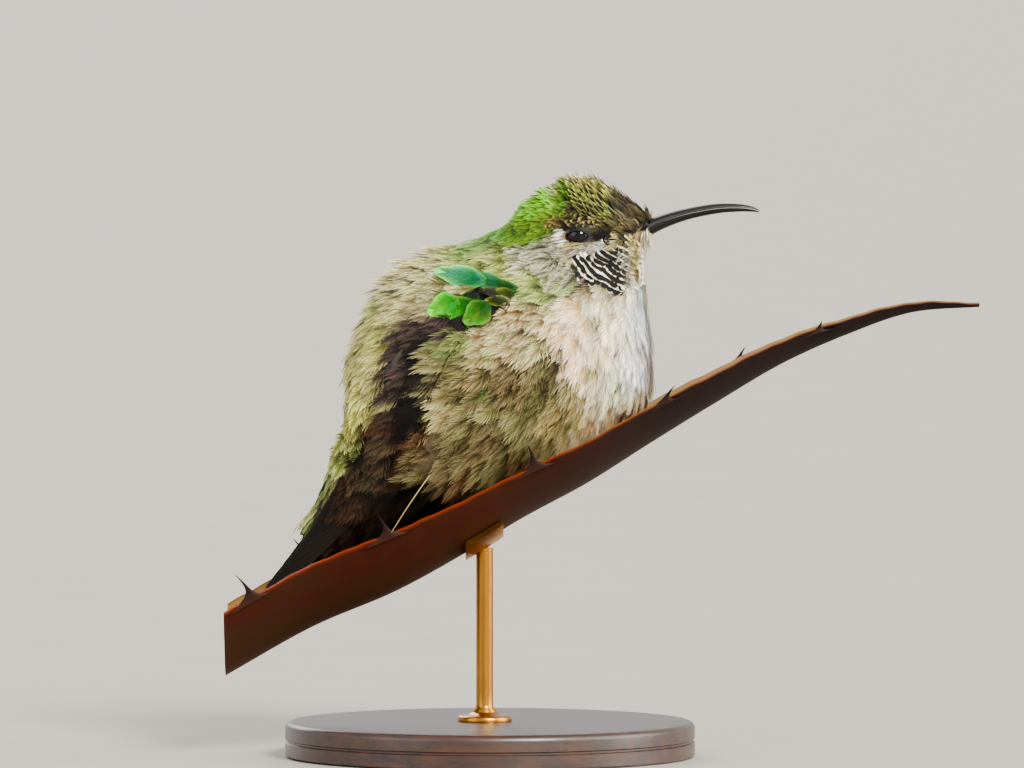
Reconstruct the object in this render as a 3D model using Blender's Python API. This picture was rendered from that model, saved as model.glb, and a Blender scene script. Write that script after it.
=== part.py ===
"""A hillstar hummingbird at rest, fluffed against the cold, in the channel of a thorny leaf on a small stand.

The bird faces +X and the leaf climbs that way. The origin is the middle of the stand's underside, +Z is up,
and the right side of the bird is at -Y. Sizes are written in millimetres and turned into metres in solid().
"""

import math
from collections import namedtuple

import bmesh
import bpy
import numpy as np
from mathutils import Matrix, Vector

MM = 0.001
GAP = 0.3  # left between neighbouring pieces
RIGHT, LEFT = -1, 1  # sign of y on each side of the bird
SIDES = {"right": RIGHT, "left": LEFT}

# --- the bird's plumage, from the bill's root to the tail ---------------------------------------------
# Each station is one slice through the feathers: a point on the back line, a point on the breast line, half the
# width between the flanks, how far the slice swells towards the breast (+) or the back (-), and how much its
# breast end narrows to a keel.
Station = namedtuple("Station", "back_x back_z front_x front_z half_width swell keel")
PLUMAGE = {
    "bill_root": Station(30.6, 100.5, 30.2, 97.2, 1.9, 0.0, 0.0),
    "forehead": Station(27.4, 102.6, 28.9, 94.6, 4.5, 0.0, 0.0),
    "brow": Station(23.2, 105.3, 28.4, 91.0, 7.1, -0.05, 0.0),
    "crown": Station(17.0, 107.5, 28.9, 86.5, 8.9, 0.0, 0.0),
    "hind_crown": Station(8.4, 104.7, 29.6, 81.0, 10.4, 0.2, 0.0),
    "nape": Station(0.6, 97.9, 30.1, 75.2, 14.5, 0.3, 0.0),
    "upper_mantle": Station(-9.8, 94.9, 30.0, 69.0, 18.8, 0.12, 0.1),
    "mantle": Station(-19.0, 88.4, 27.2, 63.0, 21.3, -0.08, 0.3),
    "shoulder": Station(-24.2, 80.6, 20.5, 57.1, 22.0, -0.24, 0.42),
    "back": Station(-26.9, 72.8, 11.0, 51.9, 21.4, -0.30, 0.45),
    "lower_back": Station(-27.7, 65.0, 2.0, 48.4, 19.4, -0.28, 0.42),
    "rump": Station(-29.5, 57.8, -7.0, 45.1, 15.6, -0.20, 0.35),
    "tail_coverts": Station(-31.9, 51.2, -15.0, 42.0, 11.4, -0.1, 0.2),
    "coverts_end": Station(-34.7, 44.8, -23.4, 39.9, 7.2, 0.0, 0.0),
    "tips": Station(-36.6, 40.8, -30.4, 38.4, 3.6, 0.0, 0.0),
}
PLUMAGE_RINGS, PLUMAGE_SIDES = 34, 26

# Cuts that part the plumage into head, neck, trunk and rump: a point on each and the way it faces (to the tail).
Cut = namedtuple("Cut", "x z facing_x facing_z")
NECK_TOP = Cut(14.5, 92.0, -0.80, -0.60)
NECK_BASE = Cut(9.5, 84.0, -0.62, -0.78)
RUMP_FRONT = Cut(-19.0, 53.5, -0.58, -0.81)

# --- bill and eyes ------------------------------------------------------------------------------------
BILL_LINE = ((31.3, 98.9), (36.3, 100.5), (41.6, 101.5), (45.6, 101.7), (48.2, 101.5), (49.8, 101.1))
BILL_HALF_HEIGHTS = (1.5, 1.12, 0.95, 0.78, 0.55, 0.26)
BILL_HALF_WIDTHS = (1.8, 1.25, 1.0, 0.85, 0.6, 0.3)
BILL_RINGS, BILL_SIDES = 14, 12
EYE = Vector((16.4, 7.3, 96.6))
EYE_RADIUS = 2.55

# --- wings, folded against the flanks -----------------------------------------------------------------
# The wing's mid-line from the wrist to the tip: x, distance from the bird's middle plane, z, and how far the wing
# leans onto the back there, in degrees.
WING_LINE = (
    (1.0, 16.6, 87.0, 38), (-7.0, 19.8, 81.5, 26), (-14.0, 20.9, 73.0, 16), (-19.0, 19.6, 62.5, 12),
    (-23.5, 14.6, 52.0, 12), (-30.5, 9.6, 42.5, 10), (-38.0, 8.0, 34.4, 8), (-42.4, 7.4, 30.2, 8),
)
ARM_LENGTH, ARM_HALF_HEIGHT, ARM_HALF_THICKNESS = 30.0, 6.2, 1.4
ARM_RINGS, ARM_SIDES = 8, 10
HAND_FEATHERS = 5  # each stands for two of the ten primaries
HAND_HALF_HEIGHT, HAND_TAPER = 6.1, 0.5
BLADE_THICKNESS, BLADE_HALF_WIDTH = 0.7, 2.9
BLADE_ROOT_SHARE, BLADE_FULL_FROM = 0.45, 0.4  # width at the root, and where the blade is at its widest
BLADE_TIP_FROM, BLADE_TIP_ROUNDNESS = 0.72, 2.4
# The hand's feathers, from the inmost and shortest to the longest: where each starts along the wing, how long it
# is, how high its root and its tip lie on the wing, and how far out from the body it lies.
HAND_STARTS = (15.0, 10.0)
HAND_SHORTEST, HAND_SPARE, HAND_GROWTH = 27.0, 11.0, 0.8
HAND_ROOT_UP, HAND_TIP_UP, HAND_OUT = (3.0, -3.2), (3.0, -0.2), (0.8, -0.5)
SEAT_RINGS, SEAT_BEFORE, SEAT_BEHIND, SEAT_OUT, SEAT_HOLLOW = 18, 2.6, 3.0, 9.0, 0.2

# --- tail ---------------------------------------------------------------------------------------------
TAIL_ROOT = Vector((-24.0, 0.0, 51.2))
TAIL_PITCH = math.radians(49.5)  # below the horizon
TAIL_LENGTH = 29.5
TAIL_FEATHERS_A_SIDE = 4
TAIL_SPREAD = math.radians(0.7)  # between one feather and the next
TAIL_FIRST_ASIDE, TAIL_STEP_ASIDE = 0.5, 0.7
TAIL_STEP_DOWN, TAIL_LEFT_DOWN, TAIL_STEP_LONGER = 0.42, 0.15, 0.3
TAIL_SAG, TAIL_ROOF = 0.05, 0.1  # how far the edges hang, and how much lower the outer edge lies

# --- legs and feet ------------------------------------------------------------------------------------
ANKLE = Vector((2.6, 4.0, 46.6))
TOE_SPREAD = (-14, 6, 28)  # degrees from the way ahead, towards the bird's middle first
TOE_LENGTHS = (4.0, 4.8, 4.2)
HALLUX_LENGTH = 3.2
TOE_RADIUS = 0.48
CLAW_LENGTH, CLAW_CURL = 2.3, math.radians(62)
CLAW_RADIUS, CLAW_TAPER, CLAW_ARCH, CLAW_HOOK = 0.36, 0.6, 0.55, 0.35
SOLE_AHEAD, SOLE_LIFT = 1.2, 0.12  # how far the sole lies ahead of the ankle, and its lift above the gap
SHANK = ((0.0, 0.6), (0.6, 0.55), (1.0, 0.85), (1.3, 0.5))  # how far towards the sole, and the radius there
THIGH_TOP = Vector((0.6, 5.4, 54.0))
THIGH_TOP_RADIUS, THIGH_LOW_RADIUS, THIGH_BULGE = 2.7, 0.75, 0.5

# --- leaf ---------------------------------------------------------------------------------------------
# Stations along the leaf: x, height of its two edges, depth of the channel, half the width between the edges.
LEAF = (
    (-49.0, 27.2, 12.2, 14.4), (-33.0, 36.0, 12.0, 14.4), (-18.0, 42.0, 11.6, 14.2), (-6.0, 47.3, 10.4, 13.9),
    (6.0, 53.2, 9.0, 13.2), (18.0, 58.7, 8.0, 12.0), (30.0, 65.2, 6.9, 10.2), (42.0, 71.3, 5.6, 7.9),
    (54.0, 77.0, 4.2, 5.5), (66.0, 81.0, 2.8, 3.4), (78.0, 83.9, 1.6, 1.8), (90.6, 83.9, 0.55, 0.55),
)
LEAF_RINGS, LEAF_ARCS = 21, 8
LEAF_WALL, LEAF_ROUNDNESS = 1.25, 1.7
SPINE_SPLAY = 0.5  # outwards, as a share of the length
SPINE_INSET, SPINE_SUNK, SPINE_HOOK = 0.55, 1.0, 1.7
SPINE_FOOT, SPINE_TIP = (1.9, 0.62), (0.26, 0.25)  # half its length and half its thickness
TIP_WALL = (0.35, 0.8)  # the wall at the leaf's tip, and its growth with half the leaf's width
Spine = namedtuple("Spine", "x side length lean")
SPINES = (
    Spine(-43.6, RIGHT, 4.4, -0.75), Spine(-18.6, RIGHT, 4.0, -0.55), Spine(8.4, RIGHT, 4.2, -0.35),
    Spine(32.0, RIGHT, 3.0, 0.7), Spine(60.6, RIGHT, 1.5, 0.5), Spine(-34.0, LEFT, 4.2, -0.7),
    Spine(-6.0, LEFT, 4.2, -0.5), Spine(20.5, LEFT, 3.6, -0.4), Spine(46.0, LEFT, 2.4, 0.6),
)

# --- stand --------------------------------------------------------------------------------------------
BASE_RADIUS, BASE_HEIGHT, BASE_BEVEL = 38.0, 6.5, 1.2
ROD_X, ROD_RADIUS = -1.0, 1.6
CRADLE_LENGTH, CRADLE_WALL, CRADLE_REACH = 7.0, 1.2, 0.45
ROD_FOOT = ((5.0, GAP), (5.0, 1.1), (2.6, 1.8), (ROD_RADIUS, 3.2))  # radii, and their heights over the base


def spline(rows, count):
    """Catmull-Rom curve through the rows, sampled evenly between them; each column is smoothed on its own."""
    rows = np.array(rows, float)
    padded = np.vstack([2 * rows[0] - rows[1], rows, 2 * rows[-1] - rows[-2]])
    at = np.linspace(0, len(rows) - 1, count)
    i = np.minimum(at.astype(int), len(rows) - 2)
    t = (at - i)[:, None]
    p0, p1, p2, p3 = (padded[i + k] for k in range(4))
    return 0.5 * (
        2 * p1 + (p2 - p0) * t + (2 * p0 - 5 * p1 + 4 * p2 - p3) * t**2 + (3 * p1 - p0 - 3 * p2 + p3) * t**3
    )


def material(name, colour, roughness, metallic=0.0):
    """A Principled material, made once for each name."""
    if name in bpy.data.materials:
        return bpy.data.materials[name]
    made = bpy.data.materials.new(name)
    made.use_nodes = True
    shader = made.node_tree.nodes["Principled BSDF"]
    shader.inputs["Base Color"].default_value = (*colour, 1.0)
    shader.inputs["Roughness"].default_value = roughness
    shader.inputs["Metallic"].default_value = metallic
    return made


def finishes():
    """The materials by the names the pieces use."""
    return {
        "crown": material("crown_feathers", (0.20, 0.24, 0.06), 0.55),
        "pale": material("breast_feathers", (0.55, 0.50, 0.38), 0.8),
        "back": material("back_feathers", (0.30, 0.33, 0.20), 0.7),
        "flight": material("flight_feathers", (0.05, 0.035, 0.03), 0.6),
        "horn": material("bill_horn", (0.015, 0.013, 0.012), 0.3),
        "eye": material("eye", (0.006, 0.005, 0.005), 0.05),
        "skin": material("leg_skin", (0.04, 0.03, 0.03), 0.6),
        "leaf": material("leaf", (0.17, 0.05, 0.015), 0.55),
        "wood": material("stand_wood", (0.06, 0.03, 0.015), 0.45),
        "brass": material("stand_brass", (0.55, 0.38, 0.16), 0.3, 1.0),
    }


def new_object(name, mesh_maker, finish):
    """An object in the scene from a bmesh in millimetres."""
    mesh = bpy.data.meshes.new(name)
    bmesh.ops.scale(mesh_maker, vec=(MM, MM, MM), verts=mesh_maker.verts)
    mesh_maker.to_mesh(mesh)
    mesh_maker.free()
    made = bpy.data.objects.new(name, mesh)
    bpy.context.scene.collection.objects.link(made)
    made.data.materials.append(finish)
    mesh.shade_smooth()
    mesh.set_sharp_from_angle(angle=math.radians(40))
    return made


def skin_of_rings(rings, closed_tip=False):
    """A closed bmesh through rings of points; each end is a flat face, or the last one a single point."""
    bm = bmesh.new()
    rows = [[bm.verts.new(p) for p in ring] for ring in rings]
    for a, b in zip(rows, rows[1:]):
        for k in range(len(a)):
            n = (k + 1) % len(a)
            bm.faces.new((a[k], a[n], b[n], b[k]))
    bm.faces.new(rows[0][::-1])
    if closed_tip:
        tip = bm.verts.new(np.mean([v.co for v in rows[-1]], axis=0))
        for k in range(len(rows[-1])):
            bm.faces.new((rows[-1][k], rows[-1][(k + 1) % len(rows[-1])], tip))
    else:
        bm.faces.new(rows[-1])
    bmesh.ops.recalc_face_normals(bm, faces=bm.faces)
    bmesh.ops.triangulate(bm, faces=bm.faces)
    return bm


def combine(target, other, operation, keep=False):
    """Cuts other out of target, or joins it on, and removes it unless it is kept."""
    modifier = target.modifiers.new("Boolean", "BOOLEAN")
    modifier.object, modifier.operation, modifier.solver = other, operation, "EXACT"
    graph = bpy.context.evaluated_depsgraph_get()
    made = bpy.data.meshes.new_from_object(target.evaluated_get(graph))
    target.modifiers.clear()
    flat = bmesh.new()
    flat.from_mesh(made)
    bmesh.ops.dissolve_limit(flat, angle_limit=math.radians(0.05), verts=flat.verts, edges=flat.edges)
    bmesh.ops.triangulate(flat, faces=flat.faces)
    flat.to_mesh(made)
    flat.free()
    target.data = made
    if not keep:
        bpy.data.objects.remove(other)
    return target


def plumage_slices(grow=0.0):
    """The rings of the whole plumage, each with its points grown outwards."""
    rings = []
    slices = spline(list(PLUMAGE.values()), PLUMAGE_RINGS)
    for n, (back_x, back_z, front_x, front_z, half_width, swell, keel) in enumerate(slices):
        back, front = Vector((back_x, 0, back_z)), Vector((front_x, 0, front_z))
        middle, reach = (back + front) / 2, (back - front) / 2
        outward = reach.cross(Vector((0, 1, 0))).normalized() * grow
        middle += outward * ((n == len(slices) - 1) - (n == 0))
        reach *= 1 + grow / reach.length
        ring = []
        for k in range(PLUMAGE_SIDES):
            turn = 2 * math.pi * k / PLUMAGE_SIDES
            flare = abs(math.sin(turn)) ** (1 + keel * max(0.0, -math.cos(turn)))
            wide = math.copysign(flare, math.sin(turn)) * (1 - swell * math.cos(turn)) * (half_width + grow)
            ring.append(middle + reach * math.cos(turn) + Vector((0, wide, 0)))
        rings.append(ring)
    return rings


def kept_side(source, name, cuts, finish):
    """A copy of the plumage with only what lies within the cuts, each shut with a flat face half a gap away."""
    bm = bmesh.new()
    bm.from_mesh(source.data)
    for cut, sign in cuts:
        facing = Vector((cut.facing_x, 0, cut.facing_z)).normalized() * sign
        spot = (Vector((cut.x, 0, cut.z)) - facing * GAP / 2) * MM
        geometry = bm.verts[:] + bm.edges[:] + bm.faces[:]
        bmesh.ops.bisect_plane(bm, geom=geometry, plane_co=spot, plane_no=facing, clear_outer=True, dist=1e-7)
        rim = [edge for edge in bm.edges if edge.is_boundary]
        bmesh.ops.holes_fill(bm, edges=rim, sides=0)
    bmesh.ops.scale(bm, vec=(1 / MM,) * 3, verts=bm.verts)
    return new_object(name, bm, finish)


def ball(name, centre, radius, finish, segments=16, rings=8):
    """A sphere, its poles to the bird's sides."""
    bm = bmesh.new()
    turn = Matrix.Translation(centre) @ Matrix.Rotation(math.pi / 2, 4, "X")
    bmesh.ops.create_uvsphere(bm, u_segments=segments, v_segments=rings, radius=radius, matrix=turn)
    return new_object(name, bm, finish)


def make_bill(finish):
    """The two halves of the bill, parted by a thin line along their edges."""
    rows = [(x, z, h, w) for (x, z), h, w in zip(BILL_LINE, BILL_HALF_HEIGHTS, BILL_HALF_WIDTHS)]
    line = spline(rows, BILL_RINGS)
    slopes = np.gradient(line[:, 1]) / np.gradient(line[:, 0])
    for name, sign in (("bill_upper", 1), ("bill_lower", -1)):
        rings = []
        for (x, z, height, width), slope in zip(line, slopes):
            up = Vector((-slope, 0, 1)).normalized()
            flat = min(GAP / 2, 0.4 * height)
            half = [math.pi * k / (BILL_SIDES // 2) for k in range(BILL_SIDES // 2 + 1)]
            ring = []
            for turn in half:
                rise = flat + (height - flat) * math.sin(turn)
                ring.append(Vector((x, width * math.cos(turn), z)) + up * sign * rise)
            rings.append(ring)
        new_object(name, skin_of_rings(rings), finish)


class WingMap:
    """Carries a place on the flat wing (along, up, out) to the wing's curved line on one side of the bird."""

    def __init__(self, side):
        line = spline(WING_LINE, 60)
        line[:, 1] *= side
        strides = np.linalg.norm(np.diff(line[:, :3], axis=0), axis=1)
        self.side, self.line = side, line
        self.steps = np.concatenate([[0.0], np.cumsum(strides)])
        self.length = self.steps[-1]

    def at(self, along):
        """The line's point and lean that far from the wrist."""
        x, y, z, lean = (np.interp(along, self.steps, self.line[:, k]) for k in range(4))
        return Vector((x, y, z)), math.radians(lean)

    def place(self, along, up, out):
        """The point that far along the wing's line, up towards the back and out from the body."""
        near = min(max(along, 1.0), self.length - 1.0)
        spot, lean = self.at(near)
        tangent = (self.at(near + 1.0)[0] - self.at(near - 1.0)[0]).normalized()
        spot += tangent * (along - near)
        outward = Vector((0, self.side, 0))
        outward = (outward - tangent * outward.dot(tangent)).normalized()
        upward = outward.cross(tangent) * self.side
        leaning = outward * math.cos(lean) + upward * math.sin(lean)
        rising = upward * math.cos(lean) - outward * math.sin(lean)
        return spot + rising * up + leaning * out


def arm_girth(along):
    """The arm's girth that far from the wrist, as a share of its widest."""
    t = min(1.0, 0.12 + 1.05 * max(0.0, along + 1.5) / ARM_LENGTH)
    return 0.35 + 0.65 * math.sin(math.pi * t**0.7) ** 0.6


def hand_taper(wing, along):
    """How much narrower the folded hand is that far along, as a share of its widest."""
    return 1.0 - HAND_TAPER * max(0.0, along / wing.length - 0.45)


def arm_of(wing):
    """Rings of the feathered arm, from the wrist, thickest near its root and thin at its end."""
    rings = []
    for along in np.linspace(-1.5, ARM_LENGTH - 1.5, ARM_RINGS):
        height, thick = ARM_HALF_HEIGHT * arm_girth(along), ARM_HALF_THICKNESS * arm_girth(along)
        turns = [2 * math.pi * k / ARM_SIDES for k in range(ARM_SIDES)]
        rings.append([wing.place(along, height * math.cos(a), thick * math.sin(a)) for a in turns])
    return rings


def blade_half_width(t, widest):
    """Half the width of a flight feather, t from its root to its round tip."""
    opening = BLADE_ROOT_SHARE + (1 - BLADE_ROOT_SHARE) * min(1.0, t / BLADE_FULL_FROM)
    tip = max(0.0, (t - BLADE_TIP_FROM) / (1 - BLADE_TIP_FROM)) ** BLADE_TIP_ROUNDNESS
    return widest * opening * math.sqrt(max(0.0, 1 - tip))


def blade(place, length, steps=6):
    """Rings of a flat feather; place turns a spot along, across and out of the blade into a point."""
    rings = []
    for t in np.linspace(0, 0.985, steps):
        half = max(BLADE_THICKNESS / 2, blade_half_width(t, BLADE_HALF_WIDTH))
        rings.append([place(t * length, across * half, lift * BLADE_THICKNESS / 2) for across, lift in
                      ((-1, -1), (1, -1), (1, 1), (-1, 1))])
    return rings


def hand_rings(wing, share):
    """Rings of one feather of the hand: share 0 is the inmost and shortest, 1 the longest, along the belly."""
    root, up_at_root, up_at_tip, out = (
        first + (last - first) * share for first, last in (HAND_STARTS, HAND_ROOT_UP, HAND_TIP_UP, HAND_OUT))
    length = HAND_SHORTEST + (wing.length - HAND_SHORTEST - HAND_SPARE) * share**HAND_GROWTH

    def place(along, across, lift):
        t = along / length
        up = up_at_root + (up_at_tip - up_at_root) * t
        up = (up + across) * hand_taper(wing, root + along)
        return wing.place(root + along, up, out * (1 - 0.3 * t) + lift)

    return blade(place, length)


def make_wing(name, side, finish):
    """A folded wing: the feathered arm with the primaries fanned under it."""
    wing = WingMap(side)
    made = new_object(name, skin_of_rings(arm_of(wing)), finish)
    for share in np.linspace(0, 1, HAND_FEATHERS):
        combine(made, new_object("feather", skin_of_rings(hand_rings(wing, share)), finish), "UNION")
    return made


def wing_seat(side, finish):
    """The room a wing needs in the plumage: its outline with a margin all round, open to the outside."""
    wing = WingMap(side)
    inner = -(ARM_HALF_THICKNESS + GAP)
    section = ((-1, SEAT_OUT), (-1, inner + SEAT_HOLLOW), (0, inner - SEAT_HOLLOW), (1, inner + SEAT_HOLLOW),
               (1, SEAT_OUT))
    rings = []
    for along in np.linspace(-SEAT_BEFORE, wing.length + SEAT_BEHIND, SEAT_RINGS):
        hand = HAND_HALF_HEIGHT * hand_taper(wing, along) * (along > 6)
        half = max(ARM_HALF_HEIGHT * arm_girth(along), hand) + 2 * GAP
        rings.append([wing.place(along, up * half, out) for up, out in section])
    return new_object("wing_seat", skin_of_rings(rings), finish)


def make_tail(finish):
    """The closed tail, its feathers stacked as a shallow roof with the middle pair on top."""
    ahead = Vector((-math.cos(TAIL_PITCH), 0, -math.sin(TAIL_PITCH)))
    over = Vector((-math.sin(TAIL_PITCH), 0, math.cos(TAIL_PITCH)))
    aside = Vector((0, 1, 0))
    made = None
    for n in range(TAIL_FEATHERS_A_SIDE):
        for side in SIDES.values():
            turn = side * TAIL_SPREAD * (n + 0.45)
            along_way = ahead * math.cos(turn) + aside * math.sin(turn)
            across_way = aside * math.cos(turn) - ahead * math.sin(turn)
            root = TAIL_ROOT + aside * side * (TAIL_FIRST_ASIDE + TAIL_STEP_ASIDE * n)
            root -= over * (TAIL_STEP_DOWN * n + TAIL_LEFT_DOWN * (side == LEFT))

            def place(along, across, lift):
                sag = TAIL_SAG * abs(across) + TAIL_ROOF * side * across * (n > 0)
                return root + along_way * along + across_way * across + over * (lift - sag)

            rings = blade(place, TAIL_LENGTH + TAIL_STEP_LONGER * n)
            feather = new_object("tail", skin_of_rings(rings), finish)
            made = feather if made is None else combine(made, feather, "UNION")
    made.name = "tail"
    return made


def leaf_floor(x, y):
    """Height of the leaf's upper surface at x, y, and the way that surface faces."""
    stations = spline(LEAF, 200)
    edge, depth, half = (np.interp(x, stations[:, 0], stations[:, k]) for k in (1, 2, 3))
    share = min(1.0, abs(y) / half)
    across = depth * LEAF_ROUNDNESS * share ** (LEAF_ROUNDNESS - 1) / half * (1 if y > 0 else -1)
    rise = np.interp(x + 1, stations[:, 0], stations[:, 1]) - np.interp(x - 1, stations[:, 0], stations[:, 1])
    facing = Vector((-rise / 2, -across, 1)).normalized()
    return edge - depth * (1 - share**LEAF_ROUNDNESS) + LEAF_WALL / facing.z, facing


def channel_ring(x, edge, depth, half, inner, outer, reach=1.0):
    """Points round the channel's wall at x: its outer face from edge to edge, then its inner face back."""
    def face(offset, shares):
        points = []
        for s in shares:
            down = -depth * (1 - abs(s) ** LEAF_ROUNDNESS)
            slope = depth * LEAF_ROUNDNESS * abs(s) ** (LEAF_ROUNDNESS - 1) / half * math.copysign(1, s)
            normal = Vector((0, -slope, 1)).normalized()
            points.append(Vector((x, s * half, edge + down)) + normal * offset)
        return points

    shares = [reach * (2 * k / LEAF_ARCS - 1) for k in range(LEAF_ARCS + 1)]
    return face(outer, shares) + face(inner, shares[::-1])


def make_spine(spine):
    """One hooked thorn, broad where it grows from the leaf's edge and bent over at its tip."""
    stations = spline(LEAF, 200)
    edge, half = (np.interp(spine.x, stations[:, 0], stations[:, k]) for k in (1, 3))
    rings = []
    for t in (0.0, 0.45, 1.0):
        splay = half - SPINE_INSET + SPINE_SPLAY * spine.length * t
        centre = Vector((spine.x + spine.lean * spine.length * t**SPINE_HOOK, spine.side * splay,
                         edge - SPINE_SUNK + (spine.length + SPINE_SUNK) * t))
        long = SPINE_FOOT[0] * (1 - t) ** 1.6 + SPINE_TIP[0]
        thick = SPINE_FOOT[1] * (1 - t) + SPINE_TIP[1]
        rings.append([centre + Vector((long * math.cos(a), thick * math.sin(a), 0))
                      for a in (2 * math.pi * k / 5 for k in range(5))])
    return skin_of_rings(rings)


def make_leaf(finish):
    """The cut length of leaf, a channel that narrows to its natural tip, with thorns along both edges."""
    rings = []
    for x, edge, depth, half in spline(LEAF, LEAF_RINGS):
        wall = min(LEAF_WALL, TIP_WALL[0] + TIP_WALL[1] * half)
        rings.append(channel_ring(x, edge, depth, half, wall, 0.0))
    made = new_object("leaf", skin_of_rings(rings), finish)
    for spine in SPINES:
        combine(made, new_object("spine", make_spine(spine), finish), "UNION")
    return made


def make_stand(wood, brass):
    """A round wooden base, and a brass rod whose cradle holds the leaf from below."""
    bm = bmesh.new()
    spot = Matrix.Translation((0, 0, BASE_HEIGHT / 2))
    bmesh.ops.create_cone(bm, cap_ends=True, segments=40, radius1=BASE_RADIUS, radius2=BASE_RADIUS,
                          depth=BASE_HEIGHT, matrix=spot)
    rim = [e for e in bm.edges if all(v.co.z > BASE_HEIGHT - 0.01 for v in e.verts)]
    bmesh.ops.bevel(bm, geom=rim, offset=BASE_BEVEL, segments=2, profile=0.6, affect="EDGES")
    new_object("stand_base", bm, wood)

    stations = spline(LEAF, 200)
    rings = []
    for x in np.linspace(ROD_X - CRADLE_LENGTH / 2, ROD_X + CRADLE_LENGTH / 2, 4):
        edge, depth, half = (np.interp(x, stations[:, 0], stations[:, k]) for k in (1, 2, 3))
        rings.append(channel_ring(x, edge, depth, half, -GAP, -GAP - CRADLE_WALL, CRADLE_REACH))
    cradle = new_object("stand_cradle", skin_of_rings(rings), brass)
    edge, depth = (np.interp(ROD_X, stations[:, 0], stations[:, k]) for k in (1, 2))
    top = edge - depth - GAP - 0.75 * CRADLE_WALL
    profile = [(radius, BASE_HEIGHT + height) for radius, height in ROD_FOOT] + [(ROD_RADIUS, top)]
    rings = [[Vector((ROD_X + r * math.cos(a), r * math.sin(a), z)) for a in
              (2 * math.pi * k / 12 for k in range(12))] for r, z in profile]
    rod = new_object("stand_rod", skin_of_rings(rings), brass)
    combine(rod, cradle, "UNION")
    return rod


def digit(start, way, over, length, finish, claw):
    """A toe as a bent tube from start, and its curved claw a gap beyond it; returns the toe."""
    rings = []
    aside = way.cross(over).normalized()
    for t in (0.0, 0.5, 1.0):
        centre = start + way * length * t + over * 0.9 * math.sin(math.pi * t) * TOE_RADIUS
        r = TOE_RADIUS * (1.05 - 0.25 * t)
        rings.append([centre + (aside * math.cos(a) + over * math.sin(a)) * r
                      for a in (2 * math.pi * k / 5 for k in range(5))])
    toe = new_object("toe", skin_of_rings(rings), finish)
    root = start + way * (length + GAP)
    rings = []
    for t in np.linspace(0, 1, 4):
        bend = CLAW_CURL * t
        swing = CLAW_LENGTH / CLAW_CURL
        drop = CLAW_HOOK * swing * (1 - math.cos(bend))
        centre = root + way * swing * math.sin(bend) + over * (CLAW_ARCH * math.sin(math.pi * t * 0.8) - drop)
        r = CLAW_RADIUS * (1 - CLAW_TAPER * t)
        rings.append([centre + (aside * math.cos(a) + over * math.sin(a)) * r
                      for a in (2 * math.pi * k / 5 for k in range(5))])
    new_object(claw, skin_of_rings(rings), finish)
    return toe


def make_foot(name, side, skin, horn):
    """A small perching foot on the leaf's floor: the bare shank, three toes ahead and one behind."""
    ankle = Vector((ANKLE.x, side * ANKLE.y, ANKLE.z))
    ground, facing = leaf_floor(ankle.x + SOLE_AHEAD, ankle.y)
    sole = Vector((ankle.x + SOLE_AHEAD, ankle.y, ground)) + facing * (TOE_RADIUS * 1.05 + GAP + SOLE_LIFT)
    rings = []
    for t, r in SHANK:
        centre = ankle.lerp(sole, t)
        rings.append([centre + Vector((r * math.cos(a), r * math.sin(a), 0))
                      for a in (2 * math.pi * k / 6 for k in range(6))])
    made = new_object(name, skin_of_rings(rings), skin)
    ahead = Vector((1, 0, 0))
    ahead = (ahead - facing * ahead.dot(facing)).normalized()
    aside = facing.cross(ahead).normalized()
    plan = [(math.radians(a), length) for a, length in zip(TOE_SPREAD, TOE_LENGTHS)]
    plan.append((math.pi, HALLUX_LENGTH))
    for n, (turn, length) in enumerate(plan, 1):
        way = ahead * math.cos(turn) + aside * math.sin(turn) * side
        ground_end, facing_end = leaf_floor(*(sole + way * length).xy)
        end = sole + way * length
        end.z = ground_end + (TOE_RADIUS + GAP + SOLE_LIFT) / facing_end.z
        way = (end - sole).normalized()
        over = (facing - way * facing.dot(way)).normalized()
        toe = digit(sole + way * TOE_RADIUS, way, over, length - TOE_RADIUS, horn, f"claw_{name[5:]}_{n}")
        combine(made, toe, "UNION")
    return made


def make_leg(name, side, finish, body):
    """The feathered thigh between the belly and the bare shank, its top cut to the belly with a gap."""
    top = Vector((THIGH_TOP.x, side * THIGH_TOP.y, THIGH_TOP.z))
    low = Vector((ANKLE.x, side * ANKLE.y, ANKLE.z + 2 * GAP))
    rings = []
    for t in np.linspace(0, 1, 6):
        centre = top.lerp(low, t)
        r = THIGH_TOP_RADIUS * (1 - t) + THIGH_LOW_RADIUS * t + THIGH_BULGE * math.sin(math.pi * t)
        rings.append([centre + Vector((r * math.cos(a), r * math.sin(a), 0))
                      for a in (2 * math.pi * k / 9 for k in range(9))])
    made = new_object(name, skin_of_rings(rings), finish)
    return combine(made, body, "DIFFERENCE", keep=True)


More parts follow.
